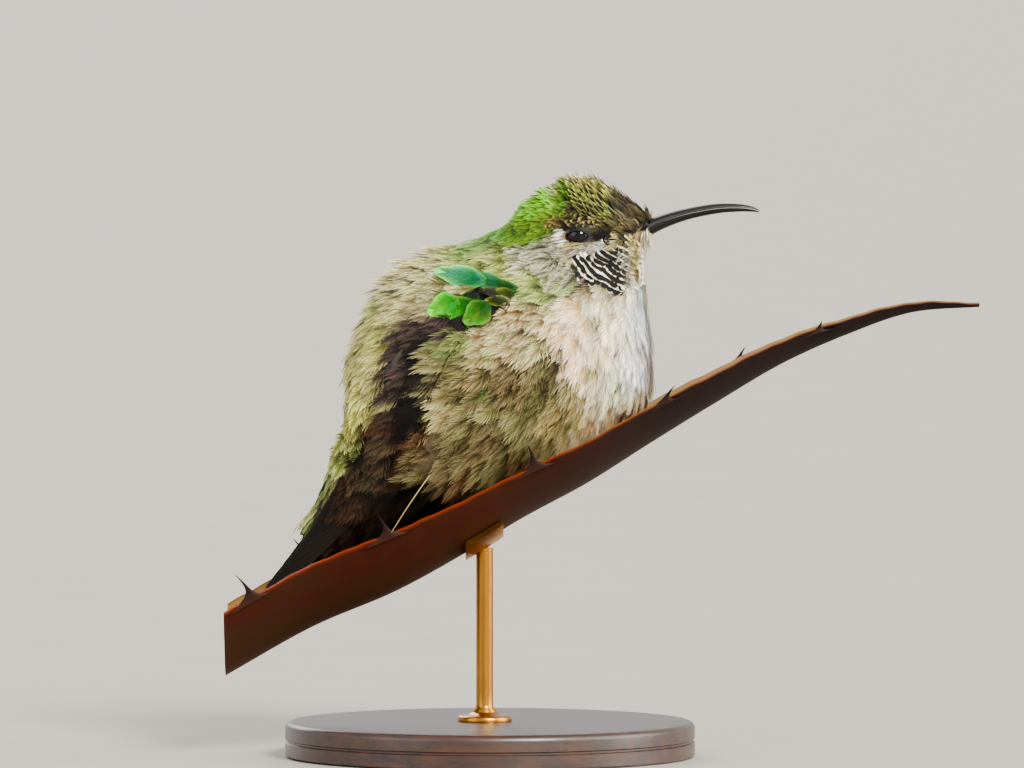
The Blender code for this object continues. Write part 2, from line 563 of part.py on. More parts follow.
def main():
    """Clears the scene and models the bird, its perch and the stand."""
    for old in list(bpy.data.objects):
        bpy.data.objects.remove(old)
    finish = finishes()
    plumage = new_object("plumage", skin_of_rings(plumage_slices()), finish["pale"])
    swollen = new_object("swollen", skin_of_rings(plumage_slices(GAP)), finish["pale"])

    make_tail(finish["flight"])
    combine(bpy.data.objects["tail"], swollen, "DIFFERENCE", keep=True)
    for word, side in SIDES.items():
        combine(plumage, wing_seat(side, finish["flight"]), "DIFFERENCE")
        make_wing(f"wing_{word}", side, finish["flight"])
        centre = Vector((EYE.x, side * EYE.y, EYE.z))
        ball(f"eye_{word}", centre, EYE_RADIUS, finish["eye"])
        combine(plumage, ball("socket", centre, EYE_RADIUS + GAP, finish["eye"]), "DIFFERENCE")
        make_leg(f"leg_{word}", side, finish["pale"], swollen)
        make_foot(f"foot_{word}", side, finish["skin"], finish["horn"])
    bpy.data.objects.remove(swollen)

    kept_side(plumage, "head", [(NECK_TOP, 1)], finish["crown"])
    kept_side(plumage, "neck", [(NECK_TOP, -1), (NECK_BASE, 1)], finish["pale"])
    kept_side(plumage, "trunk", [(NECK_BASE, -1), (RUMP_FRONT, 1)], finish["pale"])
    kept_side(plumage, "rump", [(RUMP_FRONT, -1)], finish["back"])
    bpy.data.objects.remove(plumage)

    make_bill(finish["horn"])
    make_leaf(finish["leaf"])
    make_stand(finish["wood"], finish["brass"])


main()
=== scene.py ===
"""Dresses the hillstar hummingbird: one skin, its feathers as solid vanes, the bill, eyes, leaf and stand.

Lengths are written in millimetres and turned into metres where a mesh is made. The bird faces +X, +Z is up
and its right side is at -Y, as in the solids.
"""

import logging
import math
from contextlib import contextmanager
from dataclasses import dataclass, field
from enum import Enum
from functools import cached_property
from typing import Any, Callable, Iterable, Iterator, Optional, Sequence

import bmesh
import bpy
import numpy as np
from bmesh.types import BMesh
from bpy.types import Collection, Material, Mesh, Node, NodeSocket, NodeTree, Object
from mathutils import Matrix, Vector
from mathutils.bvhtree import BVHTree
from mathutils.kdtree import KDTree


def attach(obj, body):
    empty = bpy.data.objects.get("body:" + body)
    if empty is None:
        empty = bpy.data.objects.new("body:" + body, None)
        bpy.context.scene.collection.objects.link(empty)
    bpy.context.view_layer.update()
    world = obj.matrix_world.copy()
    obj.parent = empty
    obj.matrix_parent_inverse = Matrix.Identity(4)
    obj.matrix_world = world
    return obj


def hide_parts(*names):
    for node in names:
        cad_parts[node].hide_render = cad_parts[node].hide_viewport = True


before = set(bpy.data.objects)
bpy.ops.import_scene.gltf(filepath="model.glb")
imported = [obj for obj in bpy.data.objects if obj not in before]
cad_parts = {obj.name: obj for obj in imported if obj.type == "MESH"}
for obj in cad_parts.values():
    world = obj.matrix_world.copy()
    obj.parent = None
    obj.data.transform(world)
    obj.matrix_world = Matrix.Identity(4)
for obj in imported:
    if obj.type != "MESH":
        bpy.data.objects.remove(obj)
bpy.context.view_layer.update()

MM = 0.001
BODY = "root"
LOG = logging.getLogger("hummingbird")
RIGHT, LEFT = -1, 1
SIDES = {"right": RIGHT, "left": LEFT}
FEATHER_PATCH = 0.003  # side of a small feather's place on the bake map
FEATHER_CELL = 0.1  # side of a long feather's place on its bake map
MAP_EDGE, MAP_STEP = 0.02, 0.12  # where those begin, and how far apart they lie

Place = tuple[float, float]  # x and z in the bird's middle plane
Rows = Sequence[Sequence[float]]


# --- small helpers ---

VIVID = 1.22  # how much stronger than its code a colour comes out
DARK_SHARE, MIDDLE_SHARE, PALE_SHARE = 0.32, 0.2, 0.46  # how much of its light each step of brightness keeps


def tone(code: str) -> tuple[float, float, float]:
    """A colour from its six-digit code; dark tones come out deeper than that, so that pale ones stand out.

    Args:
        code: six hexadecimal digits.

    Returns:
        Its linear red, green and blue.
    """
    colour = np.array([int(code[k:k + 2], 16) / 255 for k in (0, 2, 4)])
    linear = np.where(colour <= 0.04045, colour / 12.92, ((colour + 0.055) / 1.055) ** 2.4)
    grey = linear.mean()
    vivid = (grey + (linear - grey) * VIVID).clip(0.002, 1)
    middle, pale = smooth_step(0.02, 0.25, vivid), smooth_step(0.3, 0.75, vivid)
    depth = DARK_SHARE + MIDDLE_SHARE * middle + PALE_SHARE * pale
    return tuple(float(v) for v in vivid * depth)


def smooth_step(low: float, high: float, value: np.ndarray) -> np.ndarray:
    """Rises smoothly from 0 at low to 1 at high; low may be the larger."""
    t = np.clip((value - low) / (high - low), 0, 1)
    return t * t * (3 - 2 * t)


def spline(rows: Rows, count: int) -> np.ndarray:
    """Catmull-Rom curve through the rows, sampled evenly between them, each column on its own.

    Args:
        rows: the points that it runs through.
        count: how many points come out.

    Returns:
        The curve, a row for each point.
    """
    rows = np.array(rows, float)
    padded = np.vstack([2 * rows[0] - rows[1], rows, 2 * rows[-1] - rows[-2]])
    at = np.linspace(0, len(rows) - 1, count)
    i = np.minimum(at.astype(int), len(rows) - 2)
    t = (at - i)[:, None]
    p0, p1, p2, p3 = (padded[i + k] for k in range(4))
    return 0.5 * (
        2 * p1 + (p2 - p0) * t + (2 * p0 - 5 * p1 + 4 * p2 - p3) * t**2 + (3 * p1 - p0 - 3 * p2 + p3) * t**3
    )


def unit(vectors: np.ndarray) -> np.ndarray:
    """The vectors, each of length 1."""
    return vectors / np.maximum(np.linalg.norm(vectors, axis=-1, keepdims=True), 1e-12)


def lattice_noise(points: np.ndarray, size: float, seed: int) -> np.ndarray:
    """Smooth noise from -1 to 1.

    Args:
        points: where, one row each.
        size: how far across its lumps are.
        seed: which noise.

    Returns:
        Its value at each point, the same each time.
    """
    scaled = points / size
    cell = np.floor(scaled).astype(np.int64)
    part = scaled - cell
    part = part * part * (3 - 2 * part)
    total = np.zeros(len(points))
    for corner in np.ndindex(2, 2, 2):
        key = cell + corner
        mixed = (key[:, 0] * 73856093) ^ (key[:, 1] * 19349663) ^ (key[:, 2] * 83492791) ^ (seed * 2654435761)
        mixed = (mixed ^ (mixed >> 13)) * 1274126177 & 0x7FFFFFFF
        value = (mixed % 65536) / 32768 - 1
        weight = np.prod(np.where(np.array(corner) == 1, part, 1 - part), axis=1)
        total += weight * value
    return total


def distance_to_path(places: np.ndarray, path: Rows) -> np.ndarray:
    """How far each x, z place lies from a path of such places.

    Args:
        places: the places.
        path: the path's corners in order.

    Returns:
        The distances.
    """
    path = np.array(path, float)
    nearest = np.full(len(places), 1e9)
    if len(path) == 1:
        return np.linalg.norm(places - path[0], axis=1)
    for a, b in zip(path, path[1:]):
        stride = b - a
        t = np.clip((places - a) @ stride / (stride @ stride), 0, 1)[:, None]
        nearest = np.minimum(nearest, np.linalg.norm(places - (a + t * stride), axis=1))
    return nearest


def linked(name: str, data: Any) -> Object:
    """A new object in the scene around some data.

    Args:
        name: the object's name.
        data: a mesh, a camera or a lamp.

    Returns:
        The object.
    """
    made = bpy.data.objects.new(name, data)
    bpy.context.scene.collection.objects.link(made)
    return made


def mesh_object(name: str, points: np.ndarray, faces: Iterable[Sequence[int]]) -> Object:
    """An object at the origin with a mesh given in millimetres.

    Args:
        name: the object's name.
        points: the points in millimetres.
        faces: the corners of each face.

    Returns:
        The object.
    """
    mesh = bpy.data.meshes.new(name)
    mesh.from_pydata((np.asarray(points) * MM).tolist(), [], [list(map(int, face)) for face in faces])
    mesh.update()
    return linked(name, mesh)


VECTORS, COLOURS = ("vane", "outward", "lie", "size", "root_map"), ("mid", "edge")


def store(mesh: Mesh, **facts: Any) -> None:
    """Adds vertex attributes, one row for each vertex; the names tell vectors and colours from numbers.

    Args:
        mesh: the mesh.
        facts: the attributes by name.
    """
    for name, values in facts.items():
        kind, part = ("FLOAT_VECTOR", "vector") if name in VECTORS else ("FLOAT", "value")
        values = np.asarray(values, np.float32)
        if name in COLOURS:
            kind, part = "FLOAT_COLOR", "color"
            values = np.hstack([values, np.ones((len(values), 1), np.float32)])
        mesh.attributes.new(name, kind, "POINT").data.foreach_set(part, values.ravel())


def read(things: Any, name: str, width: int, kind: type = np.float32) -> np.ndarray:
    """One property of every vertex, edge or loop of a mesh, a row for each.

    Args:
        things: vertices, edges or loops.
        name: the property.
        width: numbers in each row.
        kind: their type.

    Returns:
        The rows.
    """
    flat = np.empty(len(things) * width, kind)
    things.foreach_get(name, flat)
    return flat.reshape(-1, width)


@contextmanager
def edited(mesh: Mesh) -> Iterator[BMesh]:
    """The mesh opened for editing, and written back at the end.

    Args:
        mesh: the mesh.

    Returns:
        Its editable form.
    """
    bm = bmesh.new()
    bm.from_mesh(mesh)
    bm.verts.ensure_lookup_table()
    yield bm
    bm.to_mesh(mesh)
    bm.free()


def weld(bm: BMesh) -> None:
    """Joins the corners that the solid's triangles share."""
    bmesh.ops.remove_doubles(bm, verts=bm.verts, dist=1e-6)


def finished(made: Object, finish: Material, sharp_from: Optional[float] = None) -> Object:
    """Gives an object its material and its smooth look.

    Args:
        made: the object.
        finish: its only material.
        sharp_from: the degrees from which an edge is left sharp.

    Returns:
        The same object.
    """
    made.data.materials.clear()
    made.data.materials.append(finish)
    made.data.shade_smooth()
    if sharp_from is not None:
        made.data.set_sharp_from_angle(angle=math.radians(sharp_from))
    return made


def select(pieces: Sequence[Object]) -> None:
    """Selects just these, the first one active.

    Args:
        pieces: the objects.
    """
    for other in bpy.context.selected_objects:
        other.select_set(False)
    for piece in pieces:
        piece.select_set(True)
    bpy.context.view_layer.objects.active = pieces[0]


def applied(made: Object) -> Object:
    """The object with its modifiers turned into a plain mesh.

    Args:
        made: the object.

    Returns:
        The same object.
    """
    graph = bpy.context.evaluated_depsgraph_get()
    plain = bpy.data.meshes.new_from_object(made.evaluated_get(graph), preserve_all_data_layers=True,
                                            depsgraph=graph)
    made.modifiers.clear()
    old = made.data
    made.data = plain
    bpy.data.meshes.remove(old)
    plain.name = made.name
    for empty in reversed([n for n, finish in enumerate(plain.materials) if finish is None]):
        plain.materials.pop(index=empty)
    return made


def evened(made: Object, voxel: float, smoothing: int) -> Object:
    """The object fused into one mesh of even faces, and smoothed.

    Args:
        made: the object.
        voxel: the size of its new faces.
        smoothing: how many rounds.

    Returns:
        The same object.
    """
    remesh = made.modifiers.new("Fuse", "REMESH")
    remesh.mode, remesh.voxel_size = "VOXEL", voxel * MM
    smooth = made.modifiers.new("Smooth", "SMOOTH")
    smooth.iterations, smooth.factor = smoothing, 0.5
    return applied(made)


def settle(made: Object, slot: str, *nodes: str) -> Object:
    """Puts a finished piece on the body and hides the solids that it stands for.

    Args:
        made: the piece.
        slot: its material slot; not used.
        nodes: the solids that it replaces.

    Returns:
        The same piece.
    """
    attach(made, BODY)
    if nodes:
        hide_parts(*nodes)
    made.data.calc_loop_triangles()
    LOG.info("%s: %d triangles", made.name, len(made.data.loop_triangles))
    return made


# --- node trees ---

class Sheet:
    """A node tree that is written as calls, each of which adds one node."""

    def __init__(self, tree: NodeTree) -> None:
        """Writes on this tree."""
        self.tree = tree

    def add(self, kind: str, inputs: Optional[dict[Any, Any]] = None, **settings: Any) -> Node:
        """Adds a node.

        Args:
            kind: Blender's name of the node's type.
            inputs: a value or a socket to link for each input, by the input's name or place.
            settings: the node's own properties.

        Returns:
            The new node.
        """
        node = self.tree.nodes.new(kind)
        for key, value in settings.items():
            setattr(node, key, value)
        for key, value in (inputs or {}).items():
            socket = node.inputs[key]
            if isinstance(value, NodeSocket):
                self.tree.links.new(value, socket)
            else:
                socket.default_value = value
        return node

    def maths(self, operation: str, *terms: Any) -> NodeSocket:
        """The result of a Math node on up to three numbers or sockets."""
        return self.add("ShaderNodeMath", dict(enumerate(terms)), operation=operation).outputs[0]

    def times(self, *factors: Any) -> NodeSocket:
        """The product of two numbers or sockets."""
        return self.maths("MULTIPLY", *factors)

    def scaled(self, *terms: Any) -> NodeSocket:
        """The first term times the second, plus the third."""
        return self.maths("MULTIPLY_ADD", *terms)


class Shades(Sheet):
    """The node tree of a new material, with one Principled shader."""

    def __init__(self, name: str, **constants: Any) -> None:
        """Makes the material, with these constants on its shader's own sockets.

        Args:
            name: the material's name.
            constants: socket values by name.
        """
        self.material = bpy.data.materials.new(name)
        self.material.use_nodes = True
        super().__init__(self.material.node_tree)
        self.shader = self.tree.nodes["Principled BSDF"]
        self.places = self.add("ShaderNodeTexCoord").outputs["Object"]
        for socket, value in constants.items():
            self.shader.inputs[socket.replace("_", " ")].default_value = value

    def attribute(self, name: str, output: str = "Fac") -> NodeSocket:
        """An attribute of the mesh, as a number, Vector or Color."""
        return self.add("ShaderNodeAttribute", attribute_name=name).outputs[output]

    def mix(self, factor: Any, first: Any, second: Any, blend: str = "MIX") -> NodeSocket:
        """Two colours mixed.

        Args:
            factor: how much of the second, a number or a socket.
            first, second: tones or sockets.
            blend: the way of mixing.

        Returns:
            The mixed colour.
        """
        first, second = ((*c, 1.0) if isinstance(c, tuple) else c for c in (first, second))
        return self.add("ShaderNodeMix", {0: factor, 6: first, 7: second}, data_type="RGBA",
                        blend_type=blend).outputs[2]

    def ramp(self, factor: NodeSocket, *stops: tuple[float, Any]) -> NodeSocket:
        """A colour ramp through the stops, each a place and a grey or a colour.

        Args:
            factor: what the ramp reads.
            stops: the stops.

        Returns:
            The ramp's colour.
        """
        node = self.add("ShaderNodeValToRGB", {"Fac": factor})
        elements = node.color_ramp.elements
        while len(elements) < len(stops):
            elements.new(1.0)
        for element, (spot, colour) in zip(elements, stops):
            element.position = spot
            element.color = (*colour, 1.0) if isinstance(colour, tuple) else (colour, colour, colour, 1.0)
        return node.outputs["Color"]

    def noise(self, across: float, detail: float = 3.0, stretch: Any = None) -> NodeSocket:
        """Noise over the piece.

        Args:
            across: the size of its lumps in millimetres.
            detail: how many finer layers it has.
            stretch: the scale along each axis, less than 1 for longer lumps.

        Returns:
            Its value, 0 to 1.
        """
        vector = self.places
        if stretch is not None:
            vector = self.add("ShaderNodeMapping", {"Vector": vector, "Scale": stretch}).outputs[0]
        inputs = {"Vector": vector, "Scale": 1 / (across * MM), "Detail": detail, "Roughness": 0.55}
        return self.add("ShaderNodeTexNoise", inputs).outputs[0]

    def bump(self, height: NodeSocket, strength: float, depth: float) -> None:
        """Raises the surface by the height, at most depth millimetres."""
        node = self.add("ShaderNodeBump", {"Height": height, "Strength": strength, "Distance": depth * MM})
        self.tree.links.new(node.outputs[0], self.shader.inputs["Normal"])

    def feed(self, socket: str, value: NodeSocket) -> None:
        """Links a value to the shader."""
        self.tree.links.new(value, self.shader.inputs[socket])


@dataclass(frozen=True)
class FeatherFinish:
    """Feathers: each vane goes from its own middle colour to its edge colour, with painted shade that darkens
    it towards its root.
    """

    name: str = "feathers"
    roughness: float = 0.66
    # how strongly painted shade deepens and darkens each vane towards its root
    root_shade_deepening: float = 0.45
    root_shade: float = 0.6
    hue_play: float = 0.8
    hue_patch: float = 1.6
    barb_contrast: float = 0.75
    barb_lines: float = 260.0
    mottle: float = 0.25

    def material(self) -> Material:
        """Makes the material; it reads the attributes that the coat's tree stores.

        Returns:
            The material.
        """
        shades = Shades(self.name, Roughness=self.roughness, Specular_IOR_Level=0.12)
        vane = shades.add("ShaderNodeSeparateXYZ", {0: shades.attribute("vane", "Vector")})
        across, along, barb = vane.outputs
        gloss = shades.attribute("gloss")
        colour = shades.mix(shades.attribute("rim"), shades.attribute("mid", "Color"),
                            shades.attribute("edge", "Color"))
        sheen = shades.times(gloss, shades.maths("SUBTRACT", shades.noise(self.hue_patch), 0.5))
        colour = shades.add("ShaderNodeHueSaturation", {
            "Color": colour, "Hue": shades.scaled(sheen, self.hue_play, 0.5)}).outputs[0]
        light = shades.scaled(barb, self.barb_contrast, 1 - self.barb_contrast / 2)
        light = shades.times(light, shades.scaled(shades.noise(self.mottle, detail=2.0), 0.3, 0.85))
        barbs = shades.scaled(shades.maths("ABSOLUTE", across), -0.7, along)
        lines = shades.maths("SINE", shades.times(barbs, self.barb_lines))
        light = shades.times(light, shades.scaled(lines, 0.1, 1.0))
        # painted shade: each vane is darkened and its colour deepened towards its root, where the feathers
        # shade each other
        tipward = shades.add("ShaderNodeMapRange", {
            "Value": along, "From Min": 0.1, "From Max": 0.65}).outputs[0]
        light = shades.times(light,
                           shades.scaled(tipward, 1 - self.root_shade, self.root_shade))
        depth = shades.scaled(tipward, -self.root_shade_deepening, 1 + self.root_shade_deepening)
        deep = shades.add("ShaderNodeGamma", {"Color": colour, "Gamma": depth}).outputs[0]
        shaded = shades.add("ShaderNodeVectorMath", {0: deep, "Scale": light}, operation="SCALE")
        shades.feed("Base Color", shaded.outputs[0])
        shades.feed("Metallic", shades.times(gloss, 0.6))
        shades.feed("Roughness", shades.scaled(gloss, -0.25, self.roughness))
        shades.bump(lines, 0.35, 0.03)
        return shades.material


@dataclass(frozen=True)
class SkinFinish:
    """The skin between the feathers' roots, with the same markings, darkened as painted shade in the gaps
    between feathers.
    """

    name: str = "feathered_skin"

    def material(self) -> Material:
        """Makes the material.

        Returns:
            The material.
        """
        shades = Shades(self.name, Roughness=0.8)
        blend = shades.mix(shades.noise(0.6), shades.attribute("mid", "Color"),
                           shades.attribute("edge", "Color"))
        # painted shade: the skin is darkened to stand for the shade in the gaps between feathers
        dark = shades.mix(1.0, blend, tone("8c8276"), "MULTIPLY")
        shades.feed("Base Color", dark)
        shades.bump(shades.noise(0.35), 0.6, 0.2)
        return shades.material


EYE = Vector((16.4, 7.3, 96.6))
OPENING = (16.1, 96.6, 2.05, 1.05)  # the lids' opening: its middle, half its length and half its height


def in_opening(points: np.ndarray, margin: float) -> np.ndarray:
    """Which points lie in the opening of the lids, or within the margin of it.

    Args:
        points: points in metres.
        margin: how far around it still counts.

    Returns:
        Whether each one lies there.
    """
    x, z, long, high = OPENING
    inside = ((points[:, 0] - x) / (long + margin)) ** 2 + ((points[:, 2] - z) / (high + margin)) ** 2 < 1
    return inside & (np.abs(points[:, 1]) > 4)


# --- the bird's surface ---

@dataclass(frozen=True)
class Region:
    """Part of the bird seen from the side: everything within reach of a path."""

    path: tuple[Place, ...]
    reach: float
    fade: float = 1.0

    def share(self, points: np.ndarray, roughness: float = 0.6) -> np.ndarray:
        """How far each point belongs to it, 0 to 1, with an uneven border.

        Args:
            points: points in metres.
            roughness: how uneven the border is, as a share of the fade.

        Returns:
            The shares.
        """
        away = distance_to_path(points[:, (0, 2)], self.path)
        away += roughness * self.fade * lattice_noise(points, 1.6, 11)
        return smooth_step(self.reach + self.fade / 2, self.reach - self.fade / 2, away)


def together(regions: Sequence[Region], points: np.ndarray) -> np.ndarray:
    """How far each point belongs to any of the regions."""
    return np.max([region.share(points) for region in regions], axis=0)


@dataclass(frozen=True)
class Marking:
    """A patch of the coat: its region and the colours at the middle and the edge of its feathers."""

    where: Region
    mid: str
    edge: str
    gloss: float = 0.0


def spots(places: Sequence[Place], reach: float, mid: str, edge: str) -> list[tuple]:
    """The rows of the same small mark at several places."""
    return [((place,), reach, 0.6, mid, edge) for place in places]


# Each mark's path, reach, fade, middle colour, edge colour and, where it shines, gloss. Later ones lie on top.
MARKINGS = tuple(Marking(Region(*row[:3]), *row[3:]) for row in (
    (((0, 70),), 200, 1, "80764c", "e8e0c2"),
    # flanks and belly
    (((-6, 80), (3, 81), (10, 78)), 4, 5, "705c38", "fcecc8"),
    (((-6, 71.4), (4, 67.6), (9, 70.4)), 5, 6, "39341f", "bdb58b"),
    (((-6, 60), (6, 58)), 4.5, 5, "443e2a", "c4bc98"),
    (((-8, 51), (2, 52), (8, 55)), 3, 4, "4a3a22", "c8b48c"),
    (((-13, 60), (-14, 56)), 2, 1.5, "3a2c1c", "d8ccac"),
    # partly the vent's brown, partly painted shade in the gap between wing, flank and leaf
    (((-14.6, 62), (-19, 52), (-15, 48), (-10, 46.5)), 2.2, 1.6, "5a4230", "927658"),
    (((12, 60), (16, 62)), 4, 4, "927a52", "eadcb8"),
    (((14, 81), (16, 75)), 3.5, 3, "d0bc94", "fffaec"),
    # breast
    (((29, 90), (27, 84), (26, 76), (28, 68), (28, 62)), 7.4, 6, "e0d8c2", "fffcf0"),
    (((30, 88), (29, 80), (29, 72)), 4.6, 4, "f8f4ea", "ffffff"),
    (((16, 88), (20, 84)), 2.6, 2.5, "d8d2bc", "fefcf6"),
    # partly the brown streaks between neck and breast, partly painted shadow under the head
    (((7, 84.6), (10, 85.6), (14, 87), (17.4, 86.8)), 1.6, 1.8, "3c301a", "bcb088"),
    (((14, 58), (20, 61), (27, 65)), 2.4, 2, "ccbc98", "f8f0dc"),
    # back
    (((-4, 93), (-12, 90), (-20, 83)), 5, 3, "7a764c", "f4eec8"),
    (((-23, 79), (-27, 70), (-27, 63)), 6, 3, "80824e", "f2ecb8"),
    (((-27, 60), (-29, 54)), 6, 3, "788048", "e4dea4"),
    (((-27, 57), (-31, 49), (-37, 40)), 4, 2, "7c8c58", "dee0b0"),
    # partly the rump's dark brown, partly painted shade in the gap between rump and leaf
    (((-10, 47), (-18, 46), (-22, 47), (-27, 41), (-34, 37)), 4.2, 2, "20150c", "4c3826"),
    # wing coverts
    (((-8.4, 80.4), (-13, 79.6), (-16.2, 78), (-16.8, 74), (-18.3, 70)), 3, 1.3, "140e0b", "80726a"),
    # painted shadow in the gap between the wing and the flank
    (((-12.4, 77), (-13, 73), (-15, 67), (-17, 60)), 2.2, 1.4, "0c0805", "302620"),
    (((-20, 62), (-24, 52), (-30, 43)), 3, 1.6, "261b13", "7c6450"),
    (((-20, 58.6), (-24.4, 50.6)), 2, 2.4, "2c2119", "94806c"),
    # painted shadow in the gap under the long wrist coverts
    (((-5, 85.8), (1.5, 85.6), (5, 86)), 0.9, 0.4, "0e0906", "3a2c20"),
    (((-1, 84), (-5, 83.4), (-4, 81.6)), 1.8, 0.6, "1c140c", "4a3a28"),
    (((-5.4, 79), (-7.4, 75.6)), 1.8, 1, "6c7448", "c4c898"),
    # head
    (((-5, 94), (2, 92), (8, 89)), 4, 3, "7c8854", "dadeb0"),
    (((11, 94), (6, 92.5), (13, 89)), 3.2, 2, "50502a", "faf4d8"),
    (((-4, 95), (0, 97.4)), 3, 2, "6a8850", "bccc98", 0.05),
    (((2, 99), (5, 100.6), (9, 102.4)), 3.4, 2, "5a9226", "b2dc58", 0.1),
    (((5, 96.6), (9, 98), (13, 100.5)), 2.4, 1.5, "586e16", "a2b43c", 0.1),
    (((14, 101.5), (18, 101.5), (22, 100.4)), 2, 1.5, "1e190a", "9c9458"),
    (((16, 104), (19, 104.5), (22, 102.4)), 2.4, 1.5, "17160a", "c2c67c"),
    (((13.6, 105.6), (13, 102)), 1.3, 1, "3c5c18", "a0b850", 0.1),
    (((24, 103), (27, 101.4), (29.5, 100), (25, 100.4)), 2, 1.6, "0a0604", "7a7250"),
    (((10.5, 98.8), (16, 99.2), (20, 98.8)), 0.8, 0.6, "30260c", "b8ac70"),
    (((13, 98), (16, 98.2), (19.6, 97.4)), 0.5, 0.4, "0c0806", "2c2116"),
    (((18.4, 96.7), (20.4, 96.9), (22.2, 97.2)), 1.2, 0.4, "0a0605", "2c2018"),
    (((22, 97.4), (27, 98), (30, 98.4)), 0.8, 0.5, "080504", "1e1610"),
    # throat
    (((18, 92), (21, 91.4), (23.2, 93.2), (24.6, 91), (23.4, 88.8)), 2.8, 1, "a09888", "e6dfd0"),
    (((24, 96), (26.4, 95.4), (27.2, 93), (27.2, 90)), 1.3, 2.4, "6c6044", "d0c69c"),
    (((29.2, 96.6), (28.6, 90), (29, 84)), 1.1, 0.8, "e8e2d2", "fffbf0"),
    (((11.6, 93.4), (16.6, 93.5), (19.6, 94.6), (22.2, 96)), 0.75, 0.4, "8c7c60", "ffffff"),
    (((12.7, 97), (13.3, 95.6)), 0.8, 0.4, "e8e2d0", "ffffff"),
    *spots(((22.6, 83.7), (28.5, 76.5), (23.3, 75.6), (23.3, 68.5), (15, 69), (12.8, 62.6), (9.8, 77.8),
            (18.7, 85.5), (26, 72), (19.5, 79)), 0.55, "1c140e", "4c4030"),
    *spots(((2.8, 74), (6, 70.5), (12.5, 73), (-2.5, 63.5)), 1, "2e2010", "7c6438"),
    # green glints on the flank
    *spots(((-0.6, 68.3), (-3.4, 71), (-5.2, 67.4)), 0.9, "5c8440", "a4b878"),
    *spots(((1.1, 75.4), (13.4, 87), (3.4, 78.6)), 1.1, "7c8c4c", "bcc090"),
))

# How feathers lie: x, z, and the way that a feather points there, in degrees from ahead, up being 90.
LIE = (
    (29.6, 99.8, 132), (27, 101.5, 122), (24.5, 103, 118), (21.5, 105, 120), (18, 106.5, 124),
    (14.5, 107, 132), (11, 106, 145), (8, 104, 178), (3, 100, 216), (0, 96.5, 212), (24, 100.5, 122),
    (20.5, 102.5, 121), (17, 104, 122), (20, 100, 130), (16.5, 101, 142), (13, 103, 152), (27, 99.6, 135),
    (23, 98.6, 152), (16.4, 99.2, 172), (12, 99.5, 188), (7, 97, 205), (21, 97.3, 180), (12.5, 96, 190),
    (10, 93, 202), (16, 93.3, 206), (20, 95.4, 216), (21, 93.6, 232), (26, 95.6, 236), (29.8, 97.2, 285),
    (28.5, 92, 258), (24, 90, 240), (24, 93, 238), (20, 87, 236), (15, 89, 218), (9, 88, 208), (29, 87, 272),
    (25, 84, 255), (20, 82, 245), (4, 91, 200), (-2, 93, 190), (30, 79, 282), (30, 70, 280), (27, 63, 275),
    (23, 60, 268), (24, 75, 270), (22, 67, 265), (17, 76, 252), (16, 67, 250), (17, 59, 258), (10, 80, 225),
    (5, 82, 202), (0, 81, 190), (-5, 79, 188), (8, 72, 230), (2, 72, 212), (-4, 72, 198), (-9, 68, 196),
    (8, 63, 236), (2, 62, 226), (-5, 62, 208), (-11, 61, 196), (10, 56, 245), (2, 54, 238), (-6, 53, 222),
    (-13, 54, 200), (0, 49, 230), (8, 52, 240), (-14, 47, 240), (-22, 43, 238), (-8, 93, 160), (-13, 91, 158),
    (-17, 88, 166), (-12, 87, 186), (-16, 84, 195), (-21, 82, 205), (-23, 78, 220), (-21, 73, 226),
    (-26, 70, 246), (-27, 65, 254), (-23, 63, 244), (-29, 57, 243), (-25, 55, 238), (-31, 50, 238),
    (-34, 44, 234), (-28, 46, 232), (-14, 79, 200), (-17, 72, 215),
)

# The folded wing's mid-line from wrist to tip, as in the solids: x, distance from the middle plane, z, lean.
WING_LINE = (
    (1, 16.6, 87, 38), (-7, 19.8, 81.5, 26), (-14, 20.9, 73, 16), (-19, 19.6, 62.5, 12),
    (-23.5, 14.6, 52, 12), (-30.5, 9.6, 42.5, 10), (-38, 8, 34.4, 8), (-42.4, 7.4, 30.2, 8),
)


def lie_at(points: np.ndarray, outward: np.ndarray, standing: float = 0.0) -> np.ndarray:
    """The way a feather points at each place.

    Args:
        points: the feathers' roots.
        outward: the surface's direction there.
        standing: how much of the guides' rise off the surface is kept.

    Returns:
        A unit vector for each.
    """
    guides = np.array(LIE, float)
    away = np.linalg.norm(points[:, None, (0, 2)] - guides[None, :, :2], axis=2) + 0.3
    weight = away**-3.0
    angles = np.radians(guides[:, 2])
    ahead, up = weight @ np.cos(angles), weight @ np.sin(angles)
    way = unit(np.stack([ahead, np.zeros(len(points)), up], axis=1))
    rise = np.sum(way * outward, axis=1, keepdims=True)
    way -= outward * np.where(rise > 0, rise * (1 - standing), rise)
    return unit(way)


